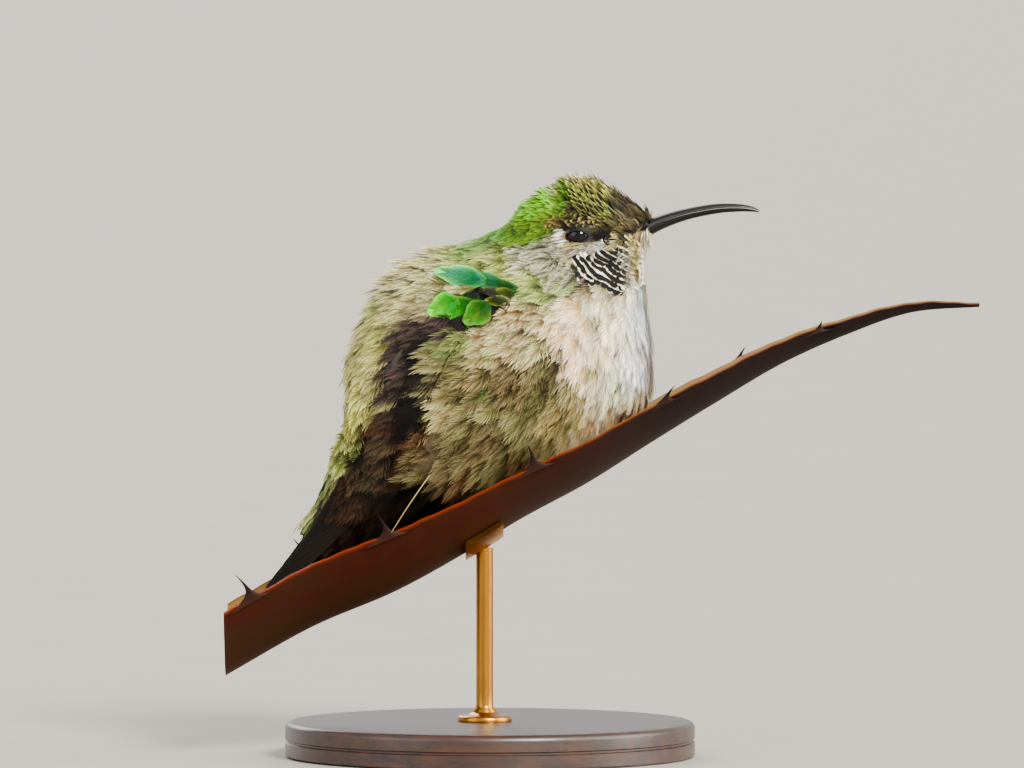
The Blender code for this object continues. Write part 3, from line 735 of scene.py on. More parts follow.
@dataclass
class Markings:
    """The colours of skin and coat as a function of place."""

    layers: tuple[Marking, ...] = MARKINGS
    mottling: float = 0.38

    def at(self, points: np.ndarray) -> tuple[np.ndarray, np.ndarray, np.ndarray]:
        """How the coat looks at each point.

        Args:
            points: where, one row each.

        Returns:
            The colour at the middle of a feather, the colour at its edge, and its gloss.
        """
        mid = np.zeros((len(points), 3))
        edge = np.zeros((len(points), 3))
        gloss = np.zeros(len(points))
        for layer in self.layers:
            share = layer.where.share(points)
            mid += (np.array(tone(layer.mid)) - mid) * share[:, None]
            edge += (np.array(tone(layer.edge)) - edge) * share[:, None]
            gloss += (layer.gloss - gloss) * share
        clouds = self.mottling * (lattice_noise(points, 3.6, 21) + 0.6 * lattice_noise(points, 1.7, 22))
        warmth = 0.16 * lattice_noise(points, 4.5, 23)
        mid *= np.exp(clouds)[:, None] * np.stack([1 + warmth, 1 - 0.3 * warmth, 1 - warmth], axis=1)
        tinted = (1.6 * (1 - edge[:, 2] / edge.max(axis=1))).clip(0, 1)
        green = tinted * lattice_noise(points, 5.0, 24)
        edge *= np.exp(0.8 * clouds * (0.25 + 0.75 * tinted))[:, None] * np.stack(
            [1 - 0.16 * green, 1 + 0.02 * green, 1 - 0.12 * green], axis=1)
        return mid.clip(0, 1), edge.clip(0, 1), gloss


@dataclass
class Skin:
    """The bird's one skin: its solids of flesh joined without a seam, and drawn in by the coat's depth."""

    nodes: tuple[str, ...] = ("head", "neck", "trunk", "rump", "leg_right", "leg_left")
    bridge: float = 0.25
    voxel: float = 0.55
    smoothing: int = 14
    wing_cut: float = 26.0
    brow: float = 3.7
    made: Optional[Object] = None
    points: np.ndarray = field(default_factory=lambda: np.zeros((0, 3)))
    outward: np.ndarray = field(default_factory=lambda: np.zeros((0, 3)))
    tree: Optional[BVHTree] = None

    def build(self) -> "Skin":
        """Makes the skin's mesh from the frame's solids.

        Returns:
            The mesh.
        """
        joined = bmesh.new()
        for name in self.nodes:
            self._take(joined, name)
        for word, side in SIDES.items():
            self._take(joined, f"wing_{word}", Wing(side).cut_plane(self.wing_cut))
            spot = Vector((EYE.x, side * EYE.y, EYE.z)) * MM
            bmesh.ops.create_icosphere(joined, subdivisions=4, radius=self.brow * MM,
                                       matrix=Matrix.Translation(spot))
        mesh = bpy.data.meshes.new("skin")
        joined.to_mesh(mesh)
        joined.free()
        self.made = evened(linked("skin", mesh), self.voxel, self.smoothing)
        self._drop_loose_shells()
        self._draw_in()
        return self

    def _take(self, joined: BMesh, name: str, cut: Optional[tuple[Vector, Vector]] = None) -> None:
        """Adds a copy of a node, a little swollen, so that it runs into its neighbours.

        Args:
            joined: what it is added to.
            name: the node.
            cut: a point and a direction of the plane past which nothing is taken.
        """
        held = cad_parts[name].data.copy()
        with edited(held) as part:
            weld(part)
            if cut is not None:
                geometry = part.verts[:] + part.edges[:] + part.faces[:]
                bmesh.ops.bisect_plane(part, geom=geometry, plane_co=cut[0] * MM, plane_no=cut[1],
                                       clear_outer=True)
                bmesh.ops.holes_fill(part, edges=[edge for edge in part.edges if edge.is_boundary], sides=0)
            part.normal_update()
            for vert in part.verts:
                vert.co += vert.normal * self.bridge * MM
        joined.from_mesh(held)
        bpy.data.meshes.remove(held)

    def _drop_loose_shells(self) -> None:
        """Keeps only the largest shell of the fused mesh."""
        mesh = self.made.data
        ends = read(mesh.edges, "vertices", 2, np.int32)
        shell, before = np.arange(len(mesh.vertices)), None
        while before is None or (shell != before).any():
            before = shell.copy()
            lowest = shell[ends].min(axis=1)
            for end in ends.T:
                np.minimum.at(shell, end, lowest)
            shell = shell[shell]
        largest = np.bincount(shell).argmax()
        with edited(mesh) as bm:
            loose = [bm.verts[n] for n in np.flatnonzero(shell != largest)]
            bmesh.ops.delete(bm, geom=loose, context="VERTS")

    def depth_at(self, points: np.ndarray) -> np.ndarray:
        """How deep the coat is at each point of its outer surface.

        Args:
            points: points in metres.

        Returns:
            Depths in millimetres.
        """
        depth = np.full(len(points), 1.5)
        for path, reach, fade, value in (
            (((-22, 46), (-34, 42)), 5, 4, 0.9),
            (((6, 99), (20, 100), (26, 96)), 9, 4, 0.9),
            (((18, 107), (10, 105)), 2, 2, 1.3),
            (((12, 95), (20, 96), (28, 96)), 3.2, 2, 0.55),
            (((27, 93), (27.5, 86), (28.5, 76), (28.5, 68)), 3.4, 3, 0.25),
            (((30, 99),), 2.0, 1.5, 0.6),
            (((2.6, 47.0),), 3.0, 1.5, 0.3),
        ):
            share = Region(path, reach, fade).share(points, 0.0)
            depth += (value - depth) * share
        return depth

    def _draw_in(self) -> None:
        """Moves the surface in by the coat's depth and stores what the coat needs to know of it."""
        mesh = self.made.data
        points = read(mesh.vertices, "co", 3).astype(float) / MM
        outward = self._normals()
        points -= outward * (self.depth_at(points) + self.bridge)[:, None]
        points[:, 1] *= np.where(in_opening(points, 0.0), 0.5, 1.0)
        mesh.vertices.foreach_set("co", (points * MM).ravel().astype(np.float32))
        mesh.update()
        self.points, self.outward = points, self._normals()
        corners = [tuple(face.vertices) for face in mesh.polygons]
        self.tree = BVHTree.FromPolygons([Vector(p) for p in points], corners)

    def _normals(self) -> np.ndarray:
        """The surface's direction at each vertex, evened out over its neighbours.

        Returns:
            The directions.
        """
        mesh = self.made.data
        normals = read(mesh.vertex_normals, "vector", 3).astype(float)
        ends = read(mesh.edges, "vertices", 2, np.int32)
        for _ in range(6):
            total = normals.copy()
            np.add.at(total, ends[:, 0], normals[ends[:, 1]])
            np.add.at(total, ends[:, 1], normals[ends[:, 0]])
            normals = unit(total)
        return normals

    def unwrap(self) -> None:
        """Lays the skin's own shape out flat, as the map that the bake uses."""
        select([self.made])
        self.made.data.uv_layers.new(name="OFBake")
        bpy.ops.object.mode_set(mode="EDIT")
        bpy.ops.mesh.select_all(action="SELECT")
        bpy.ops.uv.smart_project(angle_limit=math.radians(66), island_margin=0.004)
        bpy.ops.object.mode_set(mode="OBJECT")

    def dress(self, markings: Markings, finish: Material) -> Object:
        """Gives the skin its markings and its material, and sets it on the body.

        Args:
            markings: the colours.
            finish: the material.

        Returns:
            The skin.
        """
        mid, edge, _ = markings.at(self.points)
        store(self.made.data, mid=mid, edge=edge)
        finished(self.made, finish)
        return settle(self.made, "breast_feathers", *self.nodes, "wing_right", "wing_left")


class Wing:
    """The folded wing's own frame: a place along it, up towards the back and out from the body."""

    def __init__(self, side: int) -> None:
        """Measures the line of the wing on that side.

        Args:
            side: 1 for the left wing, -1 for the right.
        """
        line = spline(WING_LINE, 60)
        line[:, 1] *= side
        strides = np.linalg.norm(np.diff(line[:, :3], axis=0), axis=1)
        self.side, self.line = side, line
        self.steps = np.concatenate([[0.0], np.cumsum(strides)])
        self.length = float(self.steps[-1])

    def at(self, along: float) -> tuple[Vector, float]:
        """The line's point and lean that far from the wrist."""
        x, y, z, lean = (float(np.interp(along, self.steps, self.line[:, k])) for k in range(4))
        return Vector((x, y, z)), math.radians(lean)

    def axes(self, along: float) -> tuple[Vector, Vector, Vector, Vector]:
        """The wing's axes at one place of it.

        Args:
            along: how far from the wrist.

        Returns:
            The line's point, and the ways along it, up and out.
        """
        near = min(max(along, 1.0), self.length - 1.0)
        spot, lean = self.at(near)
        tangent = (self.at(near + 1.0)[0] - self.at(near - 1.0)[0]).normalized()
        spot += tangent * (along - near)
        outward = Vector((0, self.side, 0))
        outward = (outward - tangent * outward.dot(tangent)).normalized()
        upward = outward.cross(tangent) * self.side
        leaning = outward * math.cos(lean) + upward * math.sin(lean)
        rising = upward * math.cos(lean) - outward * math.sin(lean)
        return spot, tangent, rising, leaning

    def place(self, along: float, up: float, out: float) -> Vector:
        """The point at that place of the wing."""
        spot, _, rising, leaning = self.axes(along)
        return spot + rising * up + leaning * out

    def cut_plane(self, along: float) -> tuple[Vector, Vector]:
        """The plane square to the wing there, facing its tip."""
        spot, tangent, _, _ = self.axes(along)
        return spot, tangent


# --- vanes ---

class Vane(Enum):
    """The kinds of small feather."""

    ROUND = "round"
    PLUME = "plume"
    SILK = "silk"
    BROAD = "broad"
    COMB = "comb"
    LOBE = "lobe"
    BAND = "band"


VaneShape = tuple[list, list, list, list]  # points, faces, places on the vane, and shares of the edge colour


@dataclass(frozen=True)
class BarbedVane:
    """A loose feather: a stem with separate barbs, all of unit length along +Y with its face to +Z."""

    barbs: int
    reach: float
    spread: tuple[float, float]
    stem: tuple[float, float] = (0.1, 0.86)
    barb_width: float = 0.05
    bend: float = 0.14
    cup: float = 0.35
    fray: float = 0.16

    def shape(self, rng: np.random.Generator) -> VaneShape:
        """The vane, with its barbs a little uneven.

        Args:
            rng: the source of random numbers.

        Returns:
            The vane.
        """
        points, faces, vane, rim = [], [], [], []

        def lift(x: float, y: float) -> float:
            """The feather's own curve."""
            return -self.bend * y * y - self.cup * x * x

        for side in (-1, 1):
            for n in range(self.barbs):
                t = (n + 0.5 + rng.uniform(-0.3, 0.3)) / self.barbs
                y = self.stem[0] + (self.stem[1] - self.stem[0]) * t
                length = self.reach * (1 - 0.35 * t) * (1 + rng.uniform(-1, 1) * self.fray)
                angle = math.radians(self.spread[0] + (self.spread[1] - self.spread[0]) * t**0.8)
                angle += rng.uniform(-0.09, 0.09)
                shade, z = rng.uniform(0, 1), rng.uniform(-0.02, 0.03)
                way = np.array([math.sin(angle * 1.15) * side, math.cos(angle * 1.15)])
                end_way = np.array([math.sin(angle * 0.7) * side, math.cos(angle * 0.7)])
                root = np.array([0.0, y])
                middle = root + way * length * 0.55
                tip = middle + end_way * length * 0.45
                start = len(points)
                thick, thin = self.barb_width, self.barb_width * 0.85
                for spot, width, share in ((root, thick, 0.0), (middle, thin, 0.55)):
                    square = np.array([way[1], -way[0]]) * width / 2
                    for sign in (-1, 1):
                        place = spot + square * sign
                        points.append((place[0], place[1], lift(*place) + z * share + 0.004 * sign))
                        vane.append((place[0] / self.reach, place[1], shade))
                        rim.append(share * 0.5)
                points.append((tip[0], tip[1], lift(*tip) + z))
                vane.append((tip[0] / self.reach, min(1.0, tip[1]), shade))
                rim.append(1.0)
                faces += [(start, start + 1, start + 3, start + 2), (start + 2, start + 3, start + 4)]
        return points, faces, vane, rim


@dataclass(frozen=True)
class ClosedVane:
    """A firm feather with a whole web, of unit length along +Y with its face to +Z."""

    width: float
    rows: int = 6
    columns: int = 8
    root_width: float = 0.35
    round_from: float = 0.45
    bend: float = 0.12
    cup: float = 0.3
    notch: float = 0.03
    taper: float = 0.0
    tip_width: float = 0.62
    tip_rim: float = 0.62
    side_rim: float = 0.72

    def shape(self, rng: np.random.Generator) -> VaneShape:
        """The vane as a curved sheet with an uneven edge.

        Args:
            rng: the source of random numbers.

        Returns:
            The vane.
        """
        points, faces, vane, rim = [], [], [], []
        for row in range(self.rows + 1):
            t = row / self.rows
            for column in range(self.columns + 1):
                s = 2 * column / self.columns - 1
                tipward = max(0.0, (t - self.round_from) / (1 - self.round_from))
                rounding = math.sqrt(max(0.0, 1 - tipward**2))
                half = self.width / 2 * (self.root_width + (1 - self.root_width) * min(1.0, t / 0.4)) ** 0.8
                reach = (1 - 0.55 * abs(s) ** 2.2 * (1 - self.round_from)) * t
                jag = rng.uniform(-1, 0.6) * self.notch * t**3
                narrowed = 0.45 + 0.55 * rounding if row < self.rows else self.tip_width
                x = s * half * narrowed * (1 - self.taper * t * t)
                x *= 1 + (abs(s) == 1) * rng.uniform(-1.6, 0.4) * self.notch
                y = reach + jag
                points.append((x, y, -self.bend * y * y - self.cup * x * x * 2))
                vane.append((s, t, 0.5 + rng.uniform(-0.2, 0.2)))
                edge_share = max(smooth_step(self.tip_rim, 1.0, np.array(t)),
                                 smooth_step(self.side_rim, self.side_rim + 0.28, np.array(abs(s))))
                rim.append(float(edge_share))
        stride = self.columns + 1
        for row in range(self.rows):
            for column in range(self.columns):
                a = row * stride + column
                faces.append((a, a + 1, a + 1 + stride, a + stride))
        return points, faces, vane, rim


@dataclass(frozen=True)
class FringedVane:
    """A whole web with separate barbs over it that stand out past its edge."""

    web: ClosedVane
    barbs: BarbedVane
    gap: float = 0.012

    def shape(self, rng: np.random.Generator) -> VaneShape:
        """The web and the barbs together.

        Args:
            rng: the source of random numbers.

        Returns:
            The vane.
        """
        points, faces, vane, rim = self.web.shape(rng)
        start = len(points)
        more, over, barb_vane, barb_rim = self.barbs.shape(rng)
        points += [(x, y, z + self.gap) for x, y, z in more]
        faces += [tuple(start + n for n in face) for face in over]
        return points, faces, vane + barb_vane, rim + [0.8 * share for share in barb_rim]


def vane_object(name: str, points: list, faces: list, vane: list, rim: list) -> Object:
    """A unit-length vane as an object that the coat's tree can repeat.

    Args:
        name: of the object.
        points, faces, vane, rim: a VaneShape.

    Returns:
        The object, which stays out of the scene.
    """
    mesh = bpy.data.meshes.new(name)
    mesh.from_pydata([tuple(map(float, p)) for p in points], [], faces)
    store(mesh, vane=vane, rim=rim)
    mesh.shade_smooth()
    return bpy.data.objects.new(name, mesh)


@dataclass
class VaneStock:
    """A few slightly different vanes of each kind, in a collection of its own for each."""

    variants: int = 4
    first_seed: int = 101
    collections: dict[Vane, Collection] = field(default_factory=dict)

    def build(self) -> "VaneStock":
        """Makes the vanes.

        Returns:
            The stock itself.
        """
        shapes = {
            Vane.ROUND: ClosedVane(0.8, rows=7, columns=8, notch=0.035, round_from=0.5, tip_rim=0.7),
            Vane.PLUME: BarbedVane(15, 0.5, (54, 8), barb_width=0.031, fray=0.24),
            Vane.SILK: BarbedVane(11, 0.52, (27, 4), barb_width=0.036, cup=0.2),
            Vane.BROAD: FringedVane(
                ClosedVane(0.84, rows=16, columns=12, notch=0.015, round_from=0.48, root_width=0.16),
                BarbedVane(66, 0.47, (50, 26), barb_width=0.012, stem=(0.1, 0.74), bend=0.12, cup=0.6,
                           fray=0.03)),
            Vane.BAND: ClosedVane(1.0, rows=5, columns=6, notch=0.06, round_from=0.92, cup=0.03, bend=0.04,
                                  tip_rim=0.3, side_rim=2.0),
            Vane.COMB: ClosedVane(0.36, rows=6, columns=6, notch=0.02, round_from=0.6, taper=0.5, tip_rim=0.74,
                                  side_rim=0.64),
            Vane.LOBE: BarbedVane(14, 0.42, (66, 14), barb_width=0.062, stem=(0.1, 0.8), fray=0.08),
        }
        for kind, shape in shapes.items():
            rng = np.random.default_rng(self.first_seed + len(self.collections))
            group = bpy.data.collections.new(f"vanes_{kind.value}")
            for n in range(self.variants):
                group.objects.link(vane_object(f"vane_{kind.value}_{n}", *shape.shape(rng)))
            self.collections[kind] = group
        return self


class PlumageTree:
    """Geometry Nodes that stand a vane on each root and turn the whole into one mesh."""

    INPUTS = (("Roots", "Geometry"), ("Vanes", "Collection"), ("Seed", "Int"), ("Tilt spread", "Float"),
              ("Turn spread", "Float"), ("Finish", "Material"))

    def __init__(self) -> None:
        """Builds the tree."""
        self.tree = bpy.data.node_groups.new("plumage", "GeometryNodeTree")
        sheet = Sheet(self.tree)
        self.sockets = {name: self.tree.interface.new_socket(
            name, in_out="INPUT", socket_type="NodeSocket" + kind).identifier for name, kind in self.INPUTS}
        self.tree.interface.new_socket("Coat", in_out="OUTPUT", socket_type="NodeSocketGeometry")
        given = sheet.add("NodeGroupInput")
        seed = given.outputs["Seed"]

        def stored(name: str, kind: str) -> NodeSocket:
            """An attribute of the mesh."""
            return sheet.add("GeometryNodeInputNamedAttribute", {"Name": name}, data_type=kind).outputs[0]

        def spread(share: NodeSocket, step: int) -> NodeSocket:
            """A random angle for each root, up to share either way."""
            low = sheet.times(share, -1.0)
            return sheet.add("FunctionNodeRandomValue", {
                2: low, 3: share, "Seed": sheet.maths("ADD", seed, step)}, data_type="FLOAT").outputs[1]

        tilt = sheet.maths("ADD", stored("lift", "FLOAT"), spread(given.outputs["Tilt spread"], 1))
        turn = spread(given.outputs["Turn spread"], 2)
        nod = sheet.add("ShaderNodeCombineXYZ", {0: tilt, 1: spread(given.outputs["Tilt spread"], 3), 2: turn})
        facing = sheet.add("FunctionNodeAxesToRotation", {
            0: stored("lie", "FLOAT_VECTOR"), 1: stored("outward", "FLOAT_VECTOR")},
            primary_axis="Y", secondary_axis="Z")
        own_turn = sheet.add("FunctionNodeEulerToRotation", {0: nod.outputs[0]})
        turned = sheet.add("FunctionNodeRotateRotation", {0: facing.outputs[0], 1: own_turn.outputs[0]},
                           rotation_space="LOCAL")
        stock = sheet.add("GeometryNodeCollectionInfo", {
            "Collection": given.outputs["Vanes"], "Separate Children": True, "Reset Children": True})
        pick = sheet.add("FunctionNodeRandomValue", {4: 0, 5: 3, "Seed": seed}, data_type="INT")
        stood = sheet.add("GeometryNodeInstanceOnPoints", {
            "Points": given.outputs["Roots"], "Instance": stock.outputs[0], "Pick Instance": True,
            "Instance Index": pick.outputs[2], "Rotation": turned.outputs[0],
            "Scale": stored("size", "FLOAT_VECTOR")})
        real = sheet.add("GeometryNodeRealizeInstances", {0: stood.outputs[0]})
        vane = sheet.add("ShaderNodeSeparateXYZ", {0: stored("vane", "FLOAT_VECTOR")})
        nudge = sheet.add("ShaderNodeCombineXYZ", {
            0: sheet.times(vane.outputs[0], FEATHER_PATCH / 2),
            1: sheet.scaled(vane.outputs[1], FEATHER_PATCH, -FEATHER_PATCH / 2)})
        spot = sheet.add("ShaderNodeVectorMath", {0: stored("root_map", "FLOAT_VECTOR"), 1: nudge.outputs[0]},
                         operation="ADD")
        mapped = sheet.add("GeometryNodeStoreNamedAttribute", {
            "Geometry": real.outputs[0], "Name": "OFBake", "Value": spot.outputs[0]},
            data_type="FLOAT2", domain="CORNER")
        coated = sheet.add("GeometryNodeSetMaterial", {
            0: mapped.outputs[0], "Material": given.outputs["Finish"]})
        sheet.add("NodeGroupOutput", {0: coated.outputs[0]})

    def grow(self, roots: Object, **inputs: Any) -> Object:
        """Turns an object of bare roots into the coat that grows on them.

        Args:
            roots: a mesh of single vertices with the attributes that the tree reads.
            inputs: a value for each of the tree's named inputs, with _ for a space.

        Returns:
            The same object, now a plain mesh of feathers.
        """
        modifier = roots.modifiers.new("Plumage", "NODES")
        modifier.node_group = self.tree
        for name, value in inputs.items():
            modifier[self.sockets[name.replace("_", " ")]] = value
        return applied(roots)


@dataclass
class Roots:
    """Places on the skin where feathers grow, with what each feather needs to know."""

    points: np.ndarray
    outward: np.ndarray
    root_map: np.ndarray

    def only(self, keep: np.ndarray) -> "Roots":
        """Those of the roots that the mask keeps."""
        return Roots(self.points[keep], self.outward[keep], self.root_map[keep])


@dataclass(frozen=True)
class Ranks:
    """Rows of feathers that ring a point of the middle plane near the bill's root."""

    centre: Place = (30.5, 99.0)
    flat: bool = False
    stretch: float = 1.0
    wander: float = 0.0
    other_side: float = 9.0  # added on the left, so that its places follow all of the right's

    def number(self, points: np.ndarray, step: float) -> np.ndarray:
        """Which rank each point is in, with fractions between ranks; flat ones count in the side view only."""
        offset = self._offset(points) * (1, not self.flat, 1)
        return (np.linalg.norm(offset, axis=1) + self.wander * lattice_noise(points, 2.0, 31)) / step

    def away(self, points: np.ndarray, outward: np.ndarray) -> np.ndarray:
        """The way along the surface that leads straight from the centre."""
        way = unit(self._offset(points * (1, 0, 1)))
        return unit(way - outward * np.sum(way * outward, axis=1, keepdims=True))

    def _offset(self, points: np.ndarray) -> np.ndarray:
        """Each point as seen from the centre."""
        return points - np.array((self.centre[0], 0, self.centre[1]))

    def turn(self, points: np.ndarray) -> np.ndarray:
        """An angle that grows along each rank."""
        ahead, aside, up = self._offset(points).T
        return np.arctan2(up, ahead) + self.other_side * (aside > 0) if self.flat else np.arctan2(aside, up)


class Planter:
    """Finds roots on the skin, scattered evenly or in rows behind the bill."""

    def __init__(self, skin: Skin, leaf: "Leaf") -> None:
        """Reads the skin's triangles and bake map.

        Args:
            skin: the skin that feathers stand on.
            leaf: the leaf that they keep clear of.
        """
        self.skin = skin
        self.leaf = leaf
        mesh = skin.made.data
        mesh.calc_loop_triangles()
        self.triangles = read(mesh.loop_triangles, "vertices", 3, np.int32)
        loops = read(mesh.loops, "vertex_index", 1, np.int32)[:, 0]
        self.map_of_vertex = np.zeros((len(mesh.vertices), 3))
        self.map_of_vertex[loops, :2] = read(mesh.uv_layers["OFBake"].data, "uv", 2)
        self.near = KDTree(len(skin.points))
        for n, point in enumerate(skin.points):
            self.near.insert(point, n)
        self.near.balance()

    def with_facts(self, points: np.ndarray) -> Roots:
        """Looks up the skin's direction and map place at each point."""
        nearest = np.array([[found[1] for found in self.near.find_n(p, 6)] for p in points], int)
        return Roots(points, unit(self.skin.outward[nearest].mean(axis=1)), self.map_of_vertex[nearest[:, 0]])

    def scattered(self, spacing: float, regions: Sequence[Region], seed: int) -> Roots:
        """Roots without any order.

        Args:
            spacing: how far apart they are at least.
            regions: where they grow.
            seed: for their places.

        Returns:
            The roots.
        """
        rng = np.random.default_rng(seed)
        a, b, c = (self.skin.points[self.triangles[:, k]] for k in range(3))
        middle = (a + b + c) / 3
        inside = together(regions, middle)
        area = np.linalg.norm(np.cross(b - a, c - a), axis=1) / 2 * (inside > 0.02)
        count = int(area.sum() / spacing**2 * 7)
        chosen = rng.choice(len(area), size=count, p=area / area.sum())
        u, v = rng.random(count), rng.random(count)
        flip = u + v > 1
        u[flip], v[flip] = 1 - u[flip], 1 - v[flip]
        points = a[chosen] + (b - a)[chosen] * u[:, None] + (c - a)[chosen] * v[:, None]
        points = points[rng.random(count) < inside[chosen]]
        return self.with_facts(points[apart(points, spacing)])

    def on_wings(self, spacing: float, regions: Sequence[Region], seed: int) -> Roots:
        """Roots on the outer face of both folded wings.

        Args:
            spacing, regions, seed: as for scattered ones.

        Returns:
            The roots.
        """
        rng = np.random.default_rng(seed)
        points, outward = [], []
        for side in SIDES.values():
            wing = Wing(side)
            for along, up in rng.uniform((-3, -6.5), (60, 6.5), (int(5000 / spacing**2), 2)):
                spot, _, rising, leaning = wing.axes(along)
                points.append(spot + rising * up + leaning * (1.5 - 0.9 * min(1.0, max(0.0, along / 40))))
                outward.append(leaning)
        points, outward = np.array(points), np.array(outward)
        kept = together(regions, points) > rng.random(len(points))
        points, outward = points[kept], outward[kept]
        kept = apart(points, spacing)
        return Roots(points[kept], outward[kept], self.with_facts(points[kept]).root_map)

    def ranked(self, step: float, ranks: Ranks, regions: Sequence[Region], seed: int) -> Roots:
        """Roots in ranks, as the feathers of the head grow.

        Args:
            step: how far apart the ranks are.
            ranks: where they run.
            regions: where they grow.
            seed: for the order in which places are taken.

        Returns:
            The roots.
        """
        many = self.scattered(0.2, regions, seed)
        away, turn = ranks.number(many.points, step), ranks.turn(many.points)
        row = np.round(away)
        kept = []
        for n in np.unique(row):
            near = np.flatnonzero((row == n) & (np.abs(away - n) < 0.16))
            near = near[np.argsort(turn[near])]
            kept.append(near[apart(many.points[near], step * ranks.stretch)])
        return many.only(np.concatenate(kept))


def apart(points: np.ndarray, spacing: float) -> np.ndarray:
    """Indices of points kept so that no two are nearer than spacing, the first ones first.

    Args:
        points: the points.
        spacing: the least distance.

    Returns:
        The indices in rising order.
    """
    grid: dict[tuple[int, int, int], list[list[float]]] = {}
    kept = []
    for n, (cell, spot) in enumerate(zip(np.floor(points / spacing).astype(int).tolist(), points.tolist())):
        i, j, k = cell
        near = (grid.get((i + a - 1, j + b - 1, k + c - 1), ()) for a, b, c in np.ndindex(3, 3, 3))
        if all(math.dist(spot, other) >= spacing for found in near for other in found):
            grid.setdefault((i, j, k), []).append(spot)
            kept.append(n)
    return np.array(kept, int)


@dataclass
class Plumery:
    """What every piece of the coat is made with."""

    planter: Planter
    stock: VaneStock
    tree: PlumageTree
    markings: Markings
    finish: Material

    def grow(self, piece: Any, vane: Vane, spreads: tuple[float, float], points: np.ndarray,
             **facts: Any) -> Object:
        """Stands feathers on their roots and settles them as one piece.

        Args:
            piece: the coat, which has a name, a slot and a seed.
            vane: the kind of its feathers.
            spreads: how far they tilt and turn at random, in radians.
            points: the roots.
            facts: what the tree and the finish read of each root.

        Returns:
            The piece, as a plain mesh.
        """
        made = mesh_object(piece.name, points, [])
        store(made.data, **facts)
        self.tree.grow(made, Vanes=self.stock.collections[vane], Seed=piece.seed, Tilt_spread=spreads[0],
                       Turn_spread=spreads[1], Finish=self.finish)
        LOG.info("%s: %d feathers", piece.name, len(points))
        return settle(made, piece.slot)


@dataclass(frozen=True)
class Bars:
    """Every other rank dark, in wavy bars that grow paler towards the breast."""

    mid: str = "080504"
    edge: str = "1c150f"
    begin: float = 0.4
    ragged: float = 0.2
    fade: tuple[float, float, float] = (24.6, 28.0, 0.8)  # from x, to x, and by what share
    longer: float = 0.75
    wave: float = 0.5
    wave_size: float = 1.3

    def stain(self, points: np.ndarray, dark: np.ndarray, mid: np.ndarray, edge: np.ndarray) -> None:
        """Colours the dark feathers.

        Args:
            points: the feathers' roots.
            dark: whether each feather is dark.
            mid: colours of the middles, changed here.
            edge: colours of the edges, changed here.
        """
        start, end, share = self.fade
        strength = (1 - share * smooth_step(start, end, points[dark, 0]))[:, None]
        for colours, code in ((mid, self.mid), (edge, self.edge)):
            colours[dark] += (tone(code) - colours[dark]) * strength

    def stretch(self, points: np.ndarray) -> np.ndarray:
        """How much further a dark feather reaches, in steps between ranks."""
        return self.longer + self.wave * lattice_noise(points, self.wave_size, 33)


@dataclass(frozen=True)
class Coat:
    """One piece of the coat: where it grows and the size and set of its feathers."""

    name: str
    slot: str
    vane: Vane
    where: tuple[Region, ...]
    spacing: float
    length: float
    width: float
    lift: float
    bare: tuple[Region, ...] = ()
    ranks: Optional[Ranks] = None
    bars: Optional[Bars] = None
    on_wing: bool = False
    standing: float = 0.0
    raised: tuple[Region, ...] = ()
    raise_by: float = 14.0
    seed: int = 1
    uneven: float = 0.15
    uneven_width: float = 0.08
    tilt_spread: float = 0.1
    turn_spread: float = 0.16
    shade_spread: float = 0.2
    coloured_at: float = 0.6  # how far along a feather its colour is taken
    tip_at: float = 0.9

    def grow(self, plumery: Plumery) -> Object:
        """Plants the piece's roots, sizes and colours a feather for each and grows them.

        Args:
            plumery: what it is made with.

        Returns:
            The piece, as a plain mesh.
        """
        rng = np.random.default_rng(self.seed)
        roots = self._roots(plumery.planter, rng)
        points, outward = roots.points, roots.outward
        count = len(points)
        lie = self.ranks.away(points, outward) if self.bars else lie_at(points, outward, self.standing)
        mid, edge, gloss = plumery.markings.at(points + lie * self.length * self.coloured_at)
        chance = rng.random(count)
        further = np.zeros(count)
        if self.ranks:
            rank = self.ranks.number(points, self.spacing)
            further = np.round(rank) - rank
        if self.bars:
            bold = together(self.where, points) > self.bars.begin + self.bars.ragged * chance
            dark = (np.round(rank) % 2 == 0) & bold
            self.bars.stain(points, dark, mid, edge)
            further += dark * self.bars.stretch(points)
        bright = 1 + self.shade_spread * rng.standard_normal((count, 1)).clip(-1.6, 1.6)
        mid, edge = mid * bright, edge * (0.5 + 0.5 * bright)
        size = 1 + self.uneven * rng.standard_normal(count).clip(-1.8, 1.8)
        width = self.width * size * (1 + self.uneven_width * rng.standard_normal(count))
        length = self.length * size + self.spacing * further
        lift = np.full(count, math.radians(self.lift))
        for region in self.raised:
            lift += math.radians(self.raise_by) * region.share(points)
        return plumery.grow(
            self, self.vane, (self.tilt_spread, self.turn_spread), points, outward=outward, lie=lie,
            size=np.stack([width, length, length], axis=1) * MM, lift=lift, root_map=roots.root_map,
            mid=mid.clip(0, 1), edge=edge.clip(0, 1), gloss=gloss)

    def _roots(self, planter: Planter, rng: np.random.Generator) -> Roots:
        """The roots, without those on bare ground or whose feathers would cross the eye or the leaf.

        Args:
            planter: finds places on the skin.
            rng: the source of random numbers.

        Returns:
            The roots that stay.
        """
        if self.ranks:
            roots = planter.ranked(self.spacing, self.ranks, self.where, self.seed)
        else:
            plant = planter.on_wings if self.on_wing else planter.scattered
            roots = plant(self.spacing, self.where, self.seed)
        for region in self.bare:
            roots = roots.only(rng.random(len(roots.points)) >= region.share(roots.points))
        if self.bars:
            roots = roots.only(together(self.where, roots.points) > self.bars.begin)
        roots = roots.only(~in_opening(roots.points, 0.0))
        tips = roots.points + lie_at(roots.points, roots.outward) * self.length * self.tip_at
        raised = tips + roots.outward * self.length * math.sin(math.radians(self.lift))
        return roots.only(~in_opening(tips, 0.1) & ~planter.leaf.above(raised))


